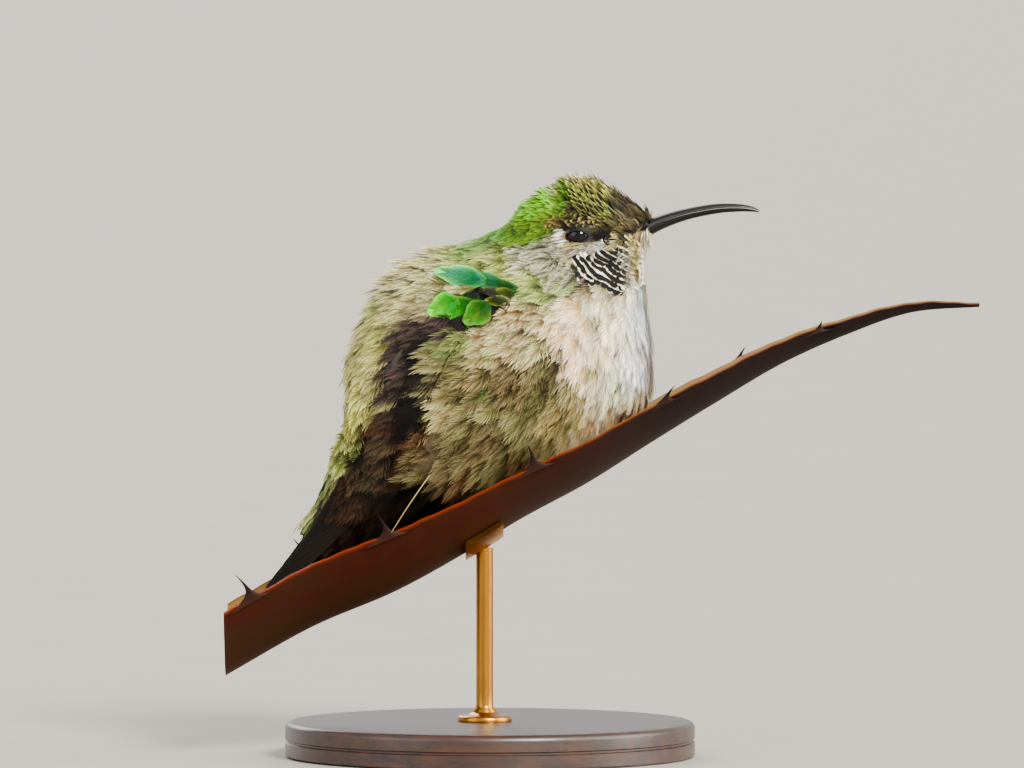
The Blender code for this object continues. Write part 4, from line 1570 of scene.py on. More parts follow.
WING_BAND = Region(((-9, 86), (-14, 80), (-17.2, 72.6), (-19.4, 65), (-22, 54), (-27, 43.5), (-34, 36)), 4)
CREST = Region(((17, 105), (20, 104), (24.5, 102), (28.4, 100.4), (24, 100), (20.4, 101.4)), 2.4, 0.8)
HEAD_TOP = Region(((6, 103), (12, 106), (20, 106)), 3, 3)
OVER_WING = Region(((-2, 79), (-5, 75), (-8, 69), (-10, 62), (-10, 54)), 3, 3)
THROAT = Region(((18.2, 91.3), (21, 91.2), (23.2, 93.2), (24.6, 91), (23.2, 89.2)), 2.35, 1.3)
MALAR = Region(((22.8, 95.6), (25.8, 95.6), (27, 93), (26.8, 89.8)), 1.6, 0.7)
LORE = Region(((18.2, 96.5), (20.6, 96.9), (22.6, 97.4)), 1, 0.4)
WRIST = Region(((-1, 84.4), (-6, 83.6), (-3.6, 81.4), (0, 81.8)), 2.3, 0.6)
SHOULDER = Region(((5, 87.2), (0, 88.4), (-4, 89.2)), 1.5, 0.6)
ROUND_EYE = Region(((12.6, 96.4), (16, 96.6), (20, 96.4)), 2.4, 0.8)

COATS = (
    Coat("breast_coat", "breast_feathers", Vane.PLUME,
         (Region(((28, 90), (26, 80), (26, 68), (23, 60)), 8, 2),), 0.88, 3.8, 3.4, 10, seed=2, standing=0.5,
         bare=(THROAT,), shade_spread=0.1),
    Coat("flank_coat", "breast_feathers", Vane.PLUME,
         (Region(((10, 86), (4, 78), (2, 68), (4, 58), (0, 51), (12, 62), (13, 74)), 8.6, 2),), 0.98, 4.9,
         4.8, 12, seed=3, standing=0.2, raised=(OVER_WING,), bare=(WRIST, SHOULDER), turn_spread=0.24,
         tilt_spread=0.15, shade_spread=0.36),
    Coat("belly_coat", "breast_feathers", Vane.PLUME,
         (Region(((-9, 50), (0, 53.6), (12, 58.8), (24, 64.4)), 2.2, 1.5),), 1.1, 6.6, 4.8, 30, seed=12),
    Coat("vent_coat", "back_feathers", Vane.PLUME,
         (Region(((-13.4, 63), (-15, 58), (-16, 52), (-11, 48)), 3.4, 1.5),), 1.1, 4.6, 4.4, 12, seed=18),
    Coat("mantle_coat", "back_feathers", Vane.PLUME,
         (Region(((-2, 93), (-10, 91), (-18, 85), (-22, 79)), 6.5, 2),), 1.05, 4.4, 4, 10, seed=4,
         standing=0.5, bare=(SHOULDER,), tilt_spread=0.15, turn_spread=0.22, shade_spread=0.36),
    Coat("back_coat", "back_feathers", Vane.LOBE,
         (Region(((-25, 76), (-27, 66), (-29, 56), (-31, 51)), 5.6, 2),), 1.2, 4.8, 4.4, 8, bare=(WING_BAND,),
         seed=5, standing=0.35),
    Coat("hood_coat", "crown_feathers", Vane.LOBE,
         (Region(((-3, 96), (3, 98), (8, 100), (11, 102), (13, 105)), 4, 1.5),), 0.78, 2.5, 2.5, 9, seed=6,
         ranks=Ranks(), standing=0.3, raised=(HEAD_TOP,), bare=(CREST, ROUND_EYE), shade_spread=0.3),
    Coat("cheek_coat", "breast_feathers", Vane.PLUME,
         (Region(((13, 90), (9, 93), (4, 91), (-2, 91)), 3.6, 1.5),), 0.72, 2.8, 2.5, 10, seed=19,
         standing=0.3, bare=(ROUND_EYE, SHOULDER), shade_spread=0.3),
    Coat("crown_coat", "crown_feathers", Vane.COMB, (CREST,), 0.72, 3.1, 2.5, 8, seed=7,
         ranks=Ranks(stretch=0.8), standing=0.7, tilt_spread=0.08, turn_spread=0.1, shade_spread=0.25),
    Coat("brow_coat", "crown_feathers", Vane.ROUND, (Region(((11, 99), (15, 99.6), (20, 99.4)), 1, 0.6),),
         0.8, 1.7, 1.8, 10, seed=13, ranks=Ranks()),
    Coat("face_coat", "crown_feathers", Vane.SILK,
         (Region(((11.4, 97.6), (11.6, 94.6), (15, 93.6), (20, 94.8), (25, 97.2), (30, 98.6)), 2.2, 0.8),),
         0.45, 1.7, 1.2, 9, seed=8, bare=(THROAT, MALAR, LORE), turn_spread=0.1),
    Coat("throat_coat", "breast_feathers", Vane.BAND, (THROAT, MALAR), 0.5, 1.2, 1.3, 15, seed=9,
         ranks=Ranks((34.3, 109.9), True, 0.9, 0.5), bars=Bars(), tilt_spread=0.01, turn_spread=0.06,
         uneven=0.03, shade_spread=0.2),
    Coat("lore_coat", "crown_feathers", Vane.SILK, (LORE,), 0.3, 1, 0.8, 9, seed=23, turn_spread=0.1),
    Coat("chin_coat", "breast_feathers", Vane.SILK, (Region(((29.8, 97), (29.2, 92), (29, 86)), 1.5, 1),),
         0.75, 2.6, 1.8, 14, seed=14, standing=0.6, bare=(THROAT,)),
    Coat("rump_coat", "back_feathers", Vane.PLUME, (Region(((-10, 47), (-18, 45), (-25, 42)), 4, 1.5),),
         1.2, 6, 4.2, 10, seed=10, standing=0.8),
    Coat("leg_coat", "breast_feathers", Vane.PLUME, (Region(((0.6, 52), (2.6, 47)), 3.5, 1),), 0.8, 2,
         1.6, 10, seed=11),
    Coat("covert_coat", "back_feathers", Vane.PLUME,
         (Region(((-9, 81), (-14, 79.4), (-15.5, 75), (-17, 70), (-17.6, 64)), 3.4, 1.5),), 1.2, 5.2, 4.4, 11,
         on_wing=True, seed=15),
    Coat("shoulder_coat", "back_feathers", Vane.PLUME,
         (Region(((-2, 88.4), (-8, 87), (-14, 83.4)), 2.6, 1),), 1, 4.4, 4, 10, on_wing=True, seed=20,
         bare=(WRIST, SHOULDER), shade_spread=0.28),
    Coat("hand_coat", "back_feathers", Vane.PLUME,
         (Region(((-18.4, 61), (-21.6, 55), (-24.6, 49.6)), 2.6, 1.2),), 1.1, 4.8, 4, 9, on_wing=True,
         seed=21),
    Coat("side_coat", "breast_feathers", Vane.PLUME,
         (Region(((0, 82.6), (-4, 79.6), (-6, 76), (-9, 70), (-11.5, 63)), 2, 1.2),), 1.05, 5.2, 4.6, 16,
         on_wing=True, bare=(WRIST,), seed=16),
    Coat("scapular_coat", "back_feathers", Vane.LOBE,
         (Region(((-15, 84), (-20, 79), (-23.5, 72), (-24.5, 64), (-26, 58)), 2.4, 1.2),), 1.2, 4.6, 4.2, 10,
         on_wing=True, seed=17),
)


# --- shaped pieces ---

class Patchwork:
    """Collects the parts of one mesh, with the attributes that the feather finish reads."""

    def __init__(self) -> None:
        """Starts with nothing."""
        self.points: list[np.ndarray] = []
        self.faces: list[tuple[int, ...]] = []
        self.maps: list[np.ndarray] = []
        self.facts: dict[str, list[np.ndarray]] = {}
        self.count = 0

    def add(self, points: np.ndarray, faces: Sequence[Sequence[int]], bake: np.ndarray, **facts: Any) -> None:
        """Adds a part.

        Args:
            points: its corners.
            faces: its faces, counted from its own first corner.
            bake: each corner's place on the bake map.
            facts: attributes, each a row for each corner or one for all.
        """
        self.faces += [tuple(index + self.count for index in face) for face in faces]
        self.points.append(points)
        self.maps.append(bake)
        self.count += len(points)
        for name, values in facts.items():
            values = np.asarray(values, float)
            if values.ndim < 2 and values.shape != (len(points),):
                values = np.broadcast_to(values, (len(points), *values.shape))
            self.facts.setdefault(name, []).append(values)

    def build(self, name: str, finish: Material) -> Object:
        """The whole as one object.

        Args:
            name: the object's name.
            finish: the finish.

        Returns:
            The object.
        """
        made = mesh_object(name, np.vstack(self.points), self.faces)
        store(made.data, **{fact: np.concatenate(parts) for fact, parts in self.facts.items()})
        loops = read(made.data.loops, "vertex_index", 1, np.int32)[:, 0]
        layer = made.data.uv_layers.new(name="OFBake")
        layer.data.foreach_set("uv", np.vstack(self.maps)[loops].ravel().astype(np.float32))
        return finished(made, finish, 50)


def turns(count: int) -> list[float]:
    """That many angles round a circle."""
    return [2 * math.pi * k / count for k in range(count)]


def loft_faces(rings: int, sides: int) -> list[tuple[int, ...]]:
    """Faces of a tube through rings of points, its two ends shut.

    Args:
        rings: how many rings.
        sides: points in each ring.

    Returns:
        The faces' corner numbers.
    """
    faces = []
    for row in range(rings - 1):
        for k in range(sides):
            n = (k + 1) % sides
            faces.append((row * sides + k, row * sides + n, (row + 1) * sides + n, (row + 1) * sides + k))
    faces.append(tuple(range(sides))[::-1])
    faces.append(tuple((rings - 1) * sides + k for k in range(sides)))
    return faces


def loft(name: str, rings: Sequence[Sequence[Any]], finish: Material, **facts: Any) -> Object:
    """A closed, smooth tube through rings of points, its faces turned outwards.

    Args:
        name: the object's name.
        rings: the rings, in millimetres.
        finish: the finish.
        facts: attributes by name, a row for each point.

    Returns:
        The object.
    """
    rings = np.array(rings, float)
    made = mesh_object(name, rings.reshape(-1, 3), loft_faces(*rings.shape[:2]))
    store(made.data, **facts)
    return finished(face_outwards(made), finish, 55)


def face_outwards(made: Object) -> Object:
    """The object, its closed mesh's faces turned outwards."""
    with edited(made.data) as bm:
        bmesh.ops.recalc_face_normals(bm, faces=bm.faces)
    return made


def joined(name: str, pieces: Sequence[Object]) -> Object:
    """Several objects as one; each keeps its shells and attributes.

    Args:
        name: the name of the whole.
        pieces: the objects.

    Returns:
        The first of them, which now holds all.
    """
    select(pieces)
    bpy.ops.object.join()
    pieces[0].name = pieces[0].data.name = name
    return pieces[0]


Placing = Callable[[float, float, float], Vector]  # a place along, across and out of a blade into a point


@dataclass(frozen=True)
class FlightFeather:
    """One long feather: a thin closed blade with a raised shaft, and loose barbs along its trailing edge."""

    length: float
    half_width: float
    mid: str
    edge: str
    fringe: int
    fringe_length: float
    shaft: float = -0.2  # where the shaft lies across the blade, from -1 to 1
    shaft_width: float = 0.07
    shaft_height: float = 0.14
    camber: float = 0.05
    thickness: float = 0.16
    rings: int = 20
    tip: float = 0.72
    barbs_from: float = 0.3
    barb_widths: tuple[float, float] = (0.2, 0.16)

    def half(self, t: float) -> float:
        """Half the blade's width, t from its root to its tip."""
        rounding = math.sqrt(max(0.0, 1 - max(0.0, (t - self.tip) / (1 - self.tip)) ** 2.4))
        return max(0.08, self.half_width * (0.4 + 0.6 * min(1.0, 2.5 * t)) * rounding)

    def weave(self, patchwork: Patchwork, place: Placing, cell: Place, rng: np.random.Generator) -> None:
        """Adds the feather.

        Args:
            patchwork: the mesh that it joins.
            place: turns a place along, across and out of the blade into a point.
            cell: the corner of its patch on the bake map.
            rng: for the unevenness of its barbs.
        """
        v0 = self.shaft
        columns = (-1, -0.82, -0.5, v0 - self.shaft_width, v0, v0 + self.shaft_width, 0.35, 0.7, 0.88, 1)
        points, vane, rim, bake = [], [], [], []
        for row in range(self.rings + 1):
            t = row / self.rings
            half = self.half(min(t, 0.995))
            for face in (1, -1):
                for v in columns[::face]:
                    ridge = self.shaft_height * (v == v0) * (1 - 0.6 * t) if face == 1 else 0.0
                    out = -self.camber * half * v * v + ridge + face * self.thickness / 2
                    points.append(place(t * self.length, v * half, out))
                    vane.append((v, t, 0.5))
                    rim.append(0.55 * (v == v0) + 0.9 * float(smooth_step(0.8, 1.0, np.array(abs(v)))))
                    bake.append(self._mapped(cell, v, t))
        looks = dict(mid=tone(self.mid), edge=tone(self.edge), gloss=0.12)
        faces = loft_faces(self.rings + 1, 2 * len(columns))
        patchwork.add(np.array(points, float), faces, np.array(bake), vane=vane, rim=rim, **looks)
        self._loosen(patchwork, place, cell, rng, looks)

    def _mapped(self, cell: Place, across: float, along: float) -> Place:
        """A place of the blade on the bake map."""
        return cell[0] + (across + 1) * FEATHER_CELL / 2, cell[1] + along * FEATHER_CELL

    def _loosen(self, patchwork: Patchwork, place: Placing, cell: Place, rng: np.random.Generator,
                looks: dict[str, Any]) -> None:
        """Adds loose barbs that stand out past both edges and the tip.

        Args:
            patchwork, place, cell, rng: as for the blade.
            looks: the blade's colours and gloss.
        """
        points, faces, vane, rim, bake = [], [], [], [], []
        for n in range(self.fringe):
            t = self.barbs_from + (0.99 - self.barbs_from) * (n + rng.uniform(0, 1)) / self.fringe
            side = 1 if n % 4 else -1
            half = self.half(t)
            reach = self.fringe_length * rng.uniform(0.7, 1.3)
            slope = math.radians(rng.uniform(18, 34)) * (1.0 - 0.7 * max(0.0, (t - 0.85) / 0.15))
            root = (t * self.length - 0.9, side * half * 0.8)
            end = (root[0] + 0.8 + reach * math.cos(slope), root[1] + side * (0.3 + reach * math.sin(slope)))
            middle = ((root[0] + end[0]) / 2, (root[1] + end[1]) / 2)
            start = len(points)
            for (along, across), width in zip((root, middle), self.barb_widths):
                points.append(place(along, across - width / 2, 0.12))
                points.append(place(along + width, across + width / 2, 0.12))
            points.append(place(*end, 0.16))
            rim += [0.0, 0.0, 0.6, 0.6, 1.0]
            vane += [(side, t, rng.uniform(0, 1))] * 5
            bake += [self._mapped(cell, side, t)] * 5
            faces += [(start, start + 1, start + 3, start + 2), (start + 2, start + 3, start + 4)]
        patchwork.add(np.array(points, float), faces, np.array(bake), vane=vane, rim=rim, **looks)


def bake_cell(n: int) -> Place:
    """The corner of the nth feather's patch on the bake map, which has eight in a row."""
    row, column = divmod(n, 8)
    return MAP_EDGE + MAP_STEP * column, MAP_EDGE + MAP_STEP * row


Slope = tuple[float, float]  # a value at one end of a row of feathers, and what is added by the other end


def sloped(slope: Slope, share: float) -> float:
    """The value at that share of the row."""
    return slope[0] + slope[1] * share


@dataclass
class FoldedWing:
    """The long feathers of one folded wing: primaries in the hand and secondaries over their roots.

    A primary's slopes go from the inmost, which is the shortest, to the longest along the belly. A secondary's
    go from the outmost, next to the primaries, to the inmost on top.
    """

    word: str
    side: int
    primaries: int = 10
    shortest_primary: float = 27.0
    growth_less: float = 38.0  # what the wing's length has more than the longest has over the shortest
    primary_half: float = 2.3
    primary_root: Slope = (15.0, -5.0)
    primary_low: Slope = (3.0, -6.2)
    primary_high: Slope = (3.0, -3.2)
    primary_out: Slope = (0.75, -1.25)
    taper: float = 0.5
    taper_from: float = 0.45
    secondaries: int = 8
    secondary_length: Slope = (25.0, -5.5)
    secondary_half: float = 3.1
    secondary_root: Slope = (10.0, -2.0)
    secondary_low: Slope = (-2.6, 2.6)
    secondary_swing: Slope = (1.0, 13.0)
    secondary_out: Slope = (0.85, 0.35)

    def build(self, finish: Material) -> Object:
        """Makes the feathers from the longest primary up to the inmost secondary.

        Args:
            finish: the finish.

        Returns:
            The wing.
        """
        wing = Wing(self.side)
        rng = np.random.default_rng(30)
        patchwork = Patchwork()
        for n in range(self.primaries):
            share = 1 - n / (self.primaries - 1)
            length = self.shortest_primary + (wing.length - self.growth_less) * share**0.8
            feather = FlightFeather(length, self.primary_half, "1a130e", "352a22", 10, 0.5, shaft=-0.35)
            feather.weave(patchwork, self._primary(wing, share, length), bake_cell(n), rng)
        for n in range(self.secondaries):
            share = n / (self.secondaries - 1)
            length = sloped(self.secondary_length, share)
            feather = FlightFeather(length, self.secondary_half, "1a130f", "6c5c54", 46, 1.7, tip=0.6)
            feather.weave(patchwork, self._secondary(wing, share, length), bake_cell(self.primaries + n), rng)
        made = patchwork.build(f"flight_feathers_{self.word}", finish)
        return settle(made, "flight_feathers", f"wing_{self.word}")

    def _primary(self, wing: Wing, share: float, length: float) -> Placing:
        """Where a primary lies.

        Args:
            wing: its wing.
            share: 0 for the inmost, 1 for the longest.
            length: its length.

        Returns:
            What places a point of its blade.
        """
        root, low, high, out = (sloped(slope, share) for slope in (
            self.primary_root, self.primary_low, self.primary_high, self.primary_out))

        def place(along: float, across: float, lift: float) -> Vector:
            """A point of the blade.

            Args:
                along: how far along the feather.
                across: how far down its width.
                lift: how far out of its plane.

            Returns:
                The point.
            """
            t = along / length
            up = low + (high - low) * t
            narrow = 1.0 - self.taper * max(0.0, (root + along) / wing.length - self.taper_from)
            return wing.place(root + along, (up - across) * narrow, out * (1 - 0.3 * t) + lift)

        return place

    def _secondary(self, wing: Wing, share: float, length: float) -> Placing:
        """Where a secondary lies.

        Args:
            wing: its wing.
            share: 0 for the outmost, 1 for the inmost.
            length: its length.

        Returns:
            What places a point of its blade.
        """
        root, low, degrees, out = (sloped(slope, share) for slope in (
            self.secondary_root, self.secondary_low, self.secondary_swing, self.secondary_out))
        swing = math.radians(degrees)

        def place(along: float, across: float, lift: float) -> Vector:
            """A point of the blade.

            Args:
                along: how far along the feather.
                across: how far down its width.
                lift: how far out of its plane.

            Returns:
                The point.
            """
            ahead = along * math.cos(swing) + across * math.sin(swing)
            up = low + along * math.sin(swing) - across * math.cos(swing)
            return wing.place(root + ahead, up, out * (1 - 0.25 * along / length) + lift)

        return place


@dataclass
class Tail:
    """The closed tail: ten feathers, the middle pair on top."""

    root: Vector = field(default_factory=lambda: Vector((-24.0, 0.0, 51.2)))
    pitch: float = math.radians(49.5)
    length: float = 29.5
    longer: float = 0.3
    half_width: float = 2.8
    pairs: int = 5
    spread: float = math.radians(0.7)
    aside: Slope = (0.5, 0.56)
    under: float = 0.33
    left_under: float = 0.12
    sag: float = 0.05
    slant: float = 0.1

    def build(self, finish: Material) -> Object:
        """Makes the ten feathers, the outmost pair first.

        Args:
            finish: the finish.

        Returns:
            The tail.
        """
        ahead = Vector((-math.cos(self.pitch), 0, -math.sin(self.pitch)))
        over = Vector((-math.sin(self.pitch), 0, math.cos(self.pitch)))
        aside = Vector((0, 1, 0))
        rng = np.random.default_rng(31)
        patchwork = Patchwork()
        for n in reversed(range(self.pairs)):
            for side in SIDES.values():
                turn = side * self.spread * (n + 0.45)
                along_way = ahead * math.cos(turn) + aside * math.sin(turn)
                across_way = aside * math.cos(turn) - ahead * math.sin(turn)
                root = self.root + aside * side * (self.aside[0] + self.aside[1] * n)
                root -= over * (self.under * n + self.left_under * (side == LEFT))

                def place(along: float, across: float, lift: float) -> Vector:
                    """A point of the blade."""
                    sag = self.sag * abs(across) + self.slant * side * across * (n > 0)
                    return root + along_way * along + across_way * across + over * (lift - sag)

                feather = FlightFeather(self.length + self.longer * n, self.half_width, "1a120c", "4c3e32", 12,
                                        0.5, shaft=side * 0.3)
                feather.weave(patchwork, place, bake_cell(2 * n + (side == LEFT)), rng)
        return settle(patchwork.build("tail_feathers", finish), "flight_feathers", "tail")


@dataclass
class StrayQuill:
    """A bare, bent quill that has slipped out under the flank and rests its end on the leaf's edge."""

    path: tuple[tuple[float, float, float], ...] = (
        (-11.0, -15.6, 53.0), (-13.4, -16.2, 49.6), (-15.8, -15.8, 46.0), (-18.1, -14.4, 42.3))
    radii: tuple[float, float] = (0.2, 0.1)
    sides: int = 8
    steps: int = 16
    mid: str = "cfc2a4"
    edge: str = "efe6cc"
    map_corner: float = 0.985

    def build(self, finish: Material) -> Object:
        """Makes the quill as a thin closed tube.

        Args:
            finish: the finish.

        Returns:
            The quill.
        """
        middle = spline([(n, *spot) for n, spot in enumerate(self.path)], self.steps)[:, 1:]
        radius = np.linspace(*self.radii, self.steps)
        turn = np.linspace(0, 2 * math.pi, self.sides, endpoint=False)
        around = np.stack([np.cos(turn), np.sin(turn), 0.5 * np.cos(turn)], axis=1)
        points = (middle[:, None] + around[None] * radius[:, None, None]).reshape(-1, 3)
        patchwork = Patchwork()
        patchwork.add(points, loft_faces(self.steps, self.sides), np.full((len(points), 2), self.map_corner),
                      vane=(0.0, 0.5, 0.5), rim=0.0, mid=tone(self.mid), edge=tone(self.edge), gloss=0.0)
        made = patchwork.build("stray_quill", finish)
        face_outwards(made)
        return settle(made, "flight_feathers")


@dataclass(frozen=True)
class Covert:
    """One large smooth feather near the wrist: where it grows, which way it points, its size and colours."""

    x: float
    z: float
    angle: float
    length: float
    width: float
    mid: str
    edge: str
    gloss: float = 0.5
    lift: float = 8.0
    out: float = 0.5


WRIST_COVERTS = tuple(Covert(*row) for row in (
    (5.2, 86.6, 169, 9, 2.6, "5c9058", "8cac74", 0.25, 14, 0.8),
    (2.6, 86.9, 169, 9, 3.4, "549a70", "94bc88", 0.25, 13, 1.3),
    (-0.6, 87.3, 170, 9.6, 4.5, "52aa84", "a0cc88", 0.25, 11, 1.9),
    (-1.8, 84.9, 198, 5, 3.4, "44702c", "789c44", 0.2, 8, 1.5),
    (-3, 83.9, 212, 5.6, 4.4, "3c8c1c", "74b030", 0.25, 7, 2),
    (-5.4, 83.9, 204, 6.2, 5, "4cb010", "84d024", 0.3, 7, 2.4),
    (-0.2, 83.4, 222, 6, 4.8, "4c8428", "78a44c", 0.25, 8, 2.5),
    (2.6, 84.4, 180, 3.8, 2, "64782c", "98a458", 0.15, 7, 1.6),
    (4.2, 85.5, 186, 5, 2.8, "566a2c", "8c9c50", 0.15, 8, 1.1),
    (-5.4, 77.6, 214, 4.6, 3.8, "787a50", "b8b890", 0.05, 8, 1.6),
))

UPPER_TAIL_COVERTS = tuple(Covert(*row) for row in (
    (-27.6, 57.5, 236, 8.5, 3.8, "4c7a3c", "98a870", 0.25, 5, 0.3),
    (-25.6, 54, 234, 9.5, 3.6, "5f8048", "a0a878", 0.2, 5, 0.2),
    (-29.6, 52, 236, 8.5, 3.6, "47703a", "94a46c", 0.25, 5, 0.3),
    (-28.2, 49, 233, 9.5, 3.4, "54744a", "a09c74", 0.15, 5, 0.2),
    (-31, 47, 234, 8.6, 2.8, "4a6c3e", "8a9462", 0.2, 4, 0.2),
))


@dataclass
class LargeCoverts:
    """Large smooth feathers set one by one, on both sides of the bird."""

    name: str
    slot: str
    plan: tuple[Covert, ...]
    turned_out: float = 0.0
    spread: float = 0.03
    vane_width: float = 0.8  # the stock vane's width for a length of 1
    cast_from: float = 60.0
    seed: int = 40

    def build(self, plumery: Plumery) -> Object:
        """Casts each feather's place onto the skin from the side and grows it there.

        Args:
            plumery: what it is made with.

        Returns:
            The piece, as a plain mesh.
        """
        points = []
        facts = {name: [] for name in ("outward", "root_map", "size", "lift", "lie", "mid", "edge", "gloss")}
        for covert in self.plan:
            for side in SIDES.values():
                start = Vector((covert.x, side * self.cast_from, covert.z))
                hit = plumery.planter.skin.tree.ray_cast(start, Vector((0, -side, 0)))
                spot = plumery.planter.with_facts(np.array([hit[0]], float))
                normal = spot.outward[0]
                angle = math.radians(covert.angle)
                way = np.array([math.cos(angle), 0.0, math.sin(angle)])
                points.append(spot.points[0] + normal * covert.out)
                normal = unit(normal + np.array([0.0, side * self.turned_out, 0.0]))
                length, width = covert.length * MM, covert.width / self.vane_width * MM
                for name, value in dict(
                    outward=normal, root_map=spot.root_map[0], lie=unit(way - normal * (way @ normal)),
                    size=(width, length, length * 0.9), lift=math.radians(covert.lift), mid=tone(covert.mid),
                    edge=tone(covert.edge), gloss=covert.gloss,
                ).items():
                    facts[name].append(value)
        return plumery.grow(self, Vane.BROAD, (self.spread, self.spread), np.array(points), **facts)


# --- bill and eyes ---

@dataclass(frozen=True)
class HornFinish:
    """Dark horn with fine streaks along it, and a paler painted highlight along the ridge on top."""

    name: str = "bill_horn"
    base: str = "120e0c"
    streak: str = "241c18"
    ridge_highlight: str = "8c7c66"

    def material(self) -> Material:
        """Makes the material; ridge is an attribute, 1 along the top line.

        Returns:
            The material.
        """
        shades = Shades(self.name, Roughness=0.3, Specular_IOR_Level=0.25)
        streaks = shades.noise(0.35, detail=4.0, stretch=(0.12, 1.0, 1.0))
        colour = shades.mix(streaks, tone(self.base), tone(self.streak))
        # painted highlight: a paler streak along the top ridge, where the light catches the bill
        highlight_share = shades.times(shades.attribute("ridge"), shades.noise(0.8, stretch=(0.3, 1.0, 1.0)))
        shades.feed("Base Color", shades.mix(highlight_share, colour, tone(self.ridge_highlight)))
        shades.feed("Roughness", shades.scaled(streaks, 0.25, 0.25))
        shades.bump(streaks, 0.3, 0.05)
        return shades.material


@dataclass
class Bill:
    """The fine decurved bill, in two halves; its root runs into the feathers of the face."""

    line: Rows = ((26.5, 96.6), (31.3, 98.9), (36.3, 100.5), (41.6, 101.5), (45.6, 101.7), (48.2, 101.5),
                  (49.8, 101.1))
    half_heights: tuple[float, ...] = (1.7, 1.36, 1.08, 0.93, 0.76, 0.54, 0.25)
    half_widths: tuple[float, ...] = (2.4, 1.7, 1.25, 1.0, 0.85, 0.6, 0.3)
    rings: int = 56
    sides: int = 28
    seam: float = 0.045

    def build(self, finish: Material) -> None:
        """Makes the upper and lower half.

        Args:
            finish: the finish.
        """
        rows = [(x, z, h, w) for (x, z), h, w in zip(self.line, self.half_heights, self.half_widths)]
        path = spline(rows, self.rings)
        slopes = np.gradient(path[:, 1]) / np.gradient(path[:, 0])
        for name, sign in (("bill_upper", 1), ("bill_lower", -1)):
            rings, ridge = [], []
            for (x, z, height, width), slope in zip(path, slopes):
                up = Vector((-slope, 0, 1)).normalized()
                ring = []
                for k in range(self.sides + 1):
                    turn = math.pi * k / self.sides
                    keel = math.sin(turn) ** (0.85 if sign > 0 else 1.0)
                    rise = self.seam + (height - self.seam) * keel
                    inward = 0.94 if sign < 0 else 1.0 - 0.1 * math.sin(turn) ** 4
                    ring.append(Vector((x, inward * width * math.cos(turn), z)) + up * sign * rise)
                    ridge.append(max(0.0, math.sin(turn)) ** 12 * (sign > 0))
                rings.append(ring)
            made = loft(name + "_horn", rings, finish, ridge=ridge)
            settle(made, "bill", name)


@dataclass(frozen=True)
class EyeFinish:
    """A dark, wet eye with a brown iris."""

    name: str = "eye_wet"

    def material(self) -> Material:
        """Makes the material; front is the angle from the eye's axis as a share of a right angle.

        Returns:
            The material.
        """
        shades = Shades(self.name, Roughness=0.07, Specular_IOR_Level=0.3)
        iris = shades.mix(shades.noise(0.3), tone("1d120b"), tone("33221a"))
        shades.feed("Base Color", shades.mix(shades.ramp(shades.attribute("front"), (0.0, 0.0), (0.34, 0.0),
                                                         (0.38, 1.0)), tone("040303"), iris))
        return shades.material


@dataclass(frozen=True)
class LidFinish:
    """The bare rim of the lids: dark, finely wrinkled skin, paler away from the eye."""

    name: str = "lid_skin"

    def material(self) -> Material:
        """Makes the material; outer is an attribute, 0 at the lids' edge and 1 under the feathers.

        Returns:
            The material.
        """
        shades = Shades(self.name, Roughness=0.6, Specular_IOR_Level=0.2)
        tint = shades.ramp(shades.attribute("outer"), (0.0, tone("080605")), (0.3, tone("1c1718")),
                           (0.6, tone("2c2628")), (1.0, tone("120e0c")))
        shades.feed("Base Color", shades.mix(shades.noise(0.25), tint, tone("1c1613")))
        shades.bump(shades.noise(0.18), 0.5, 0.08)
        return shades.material


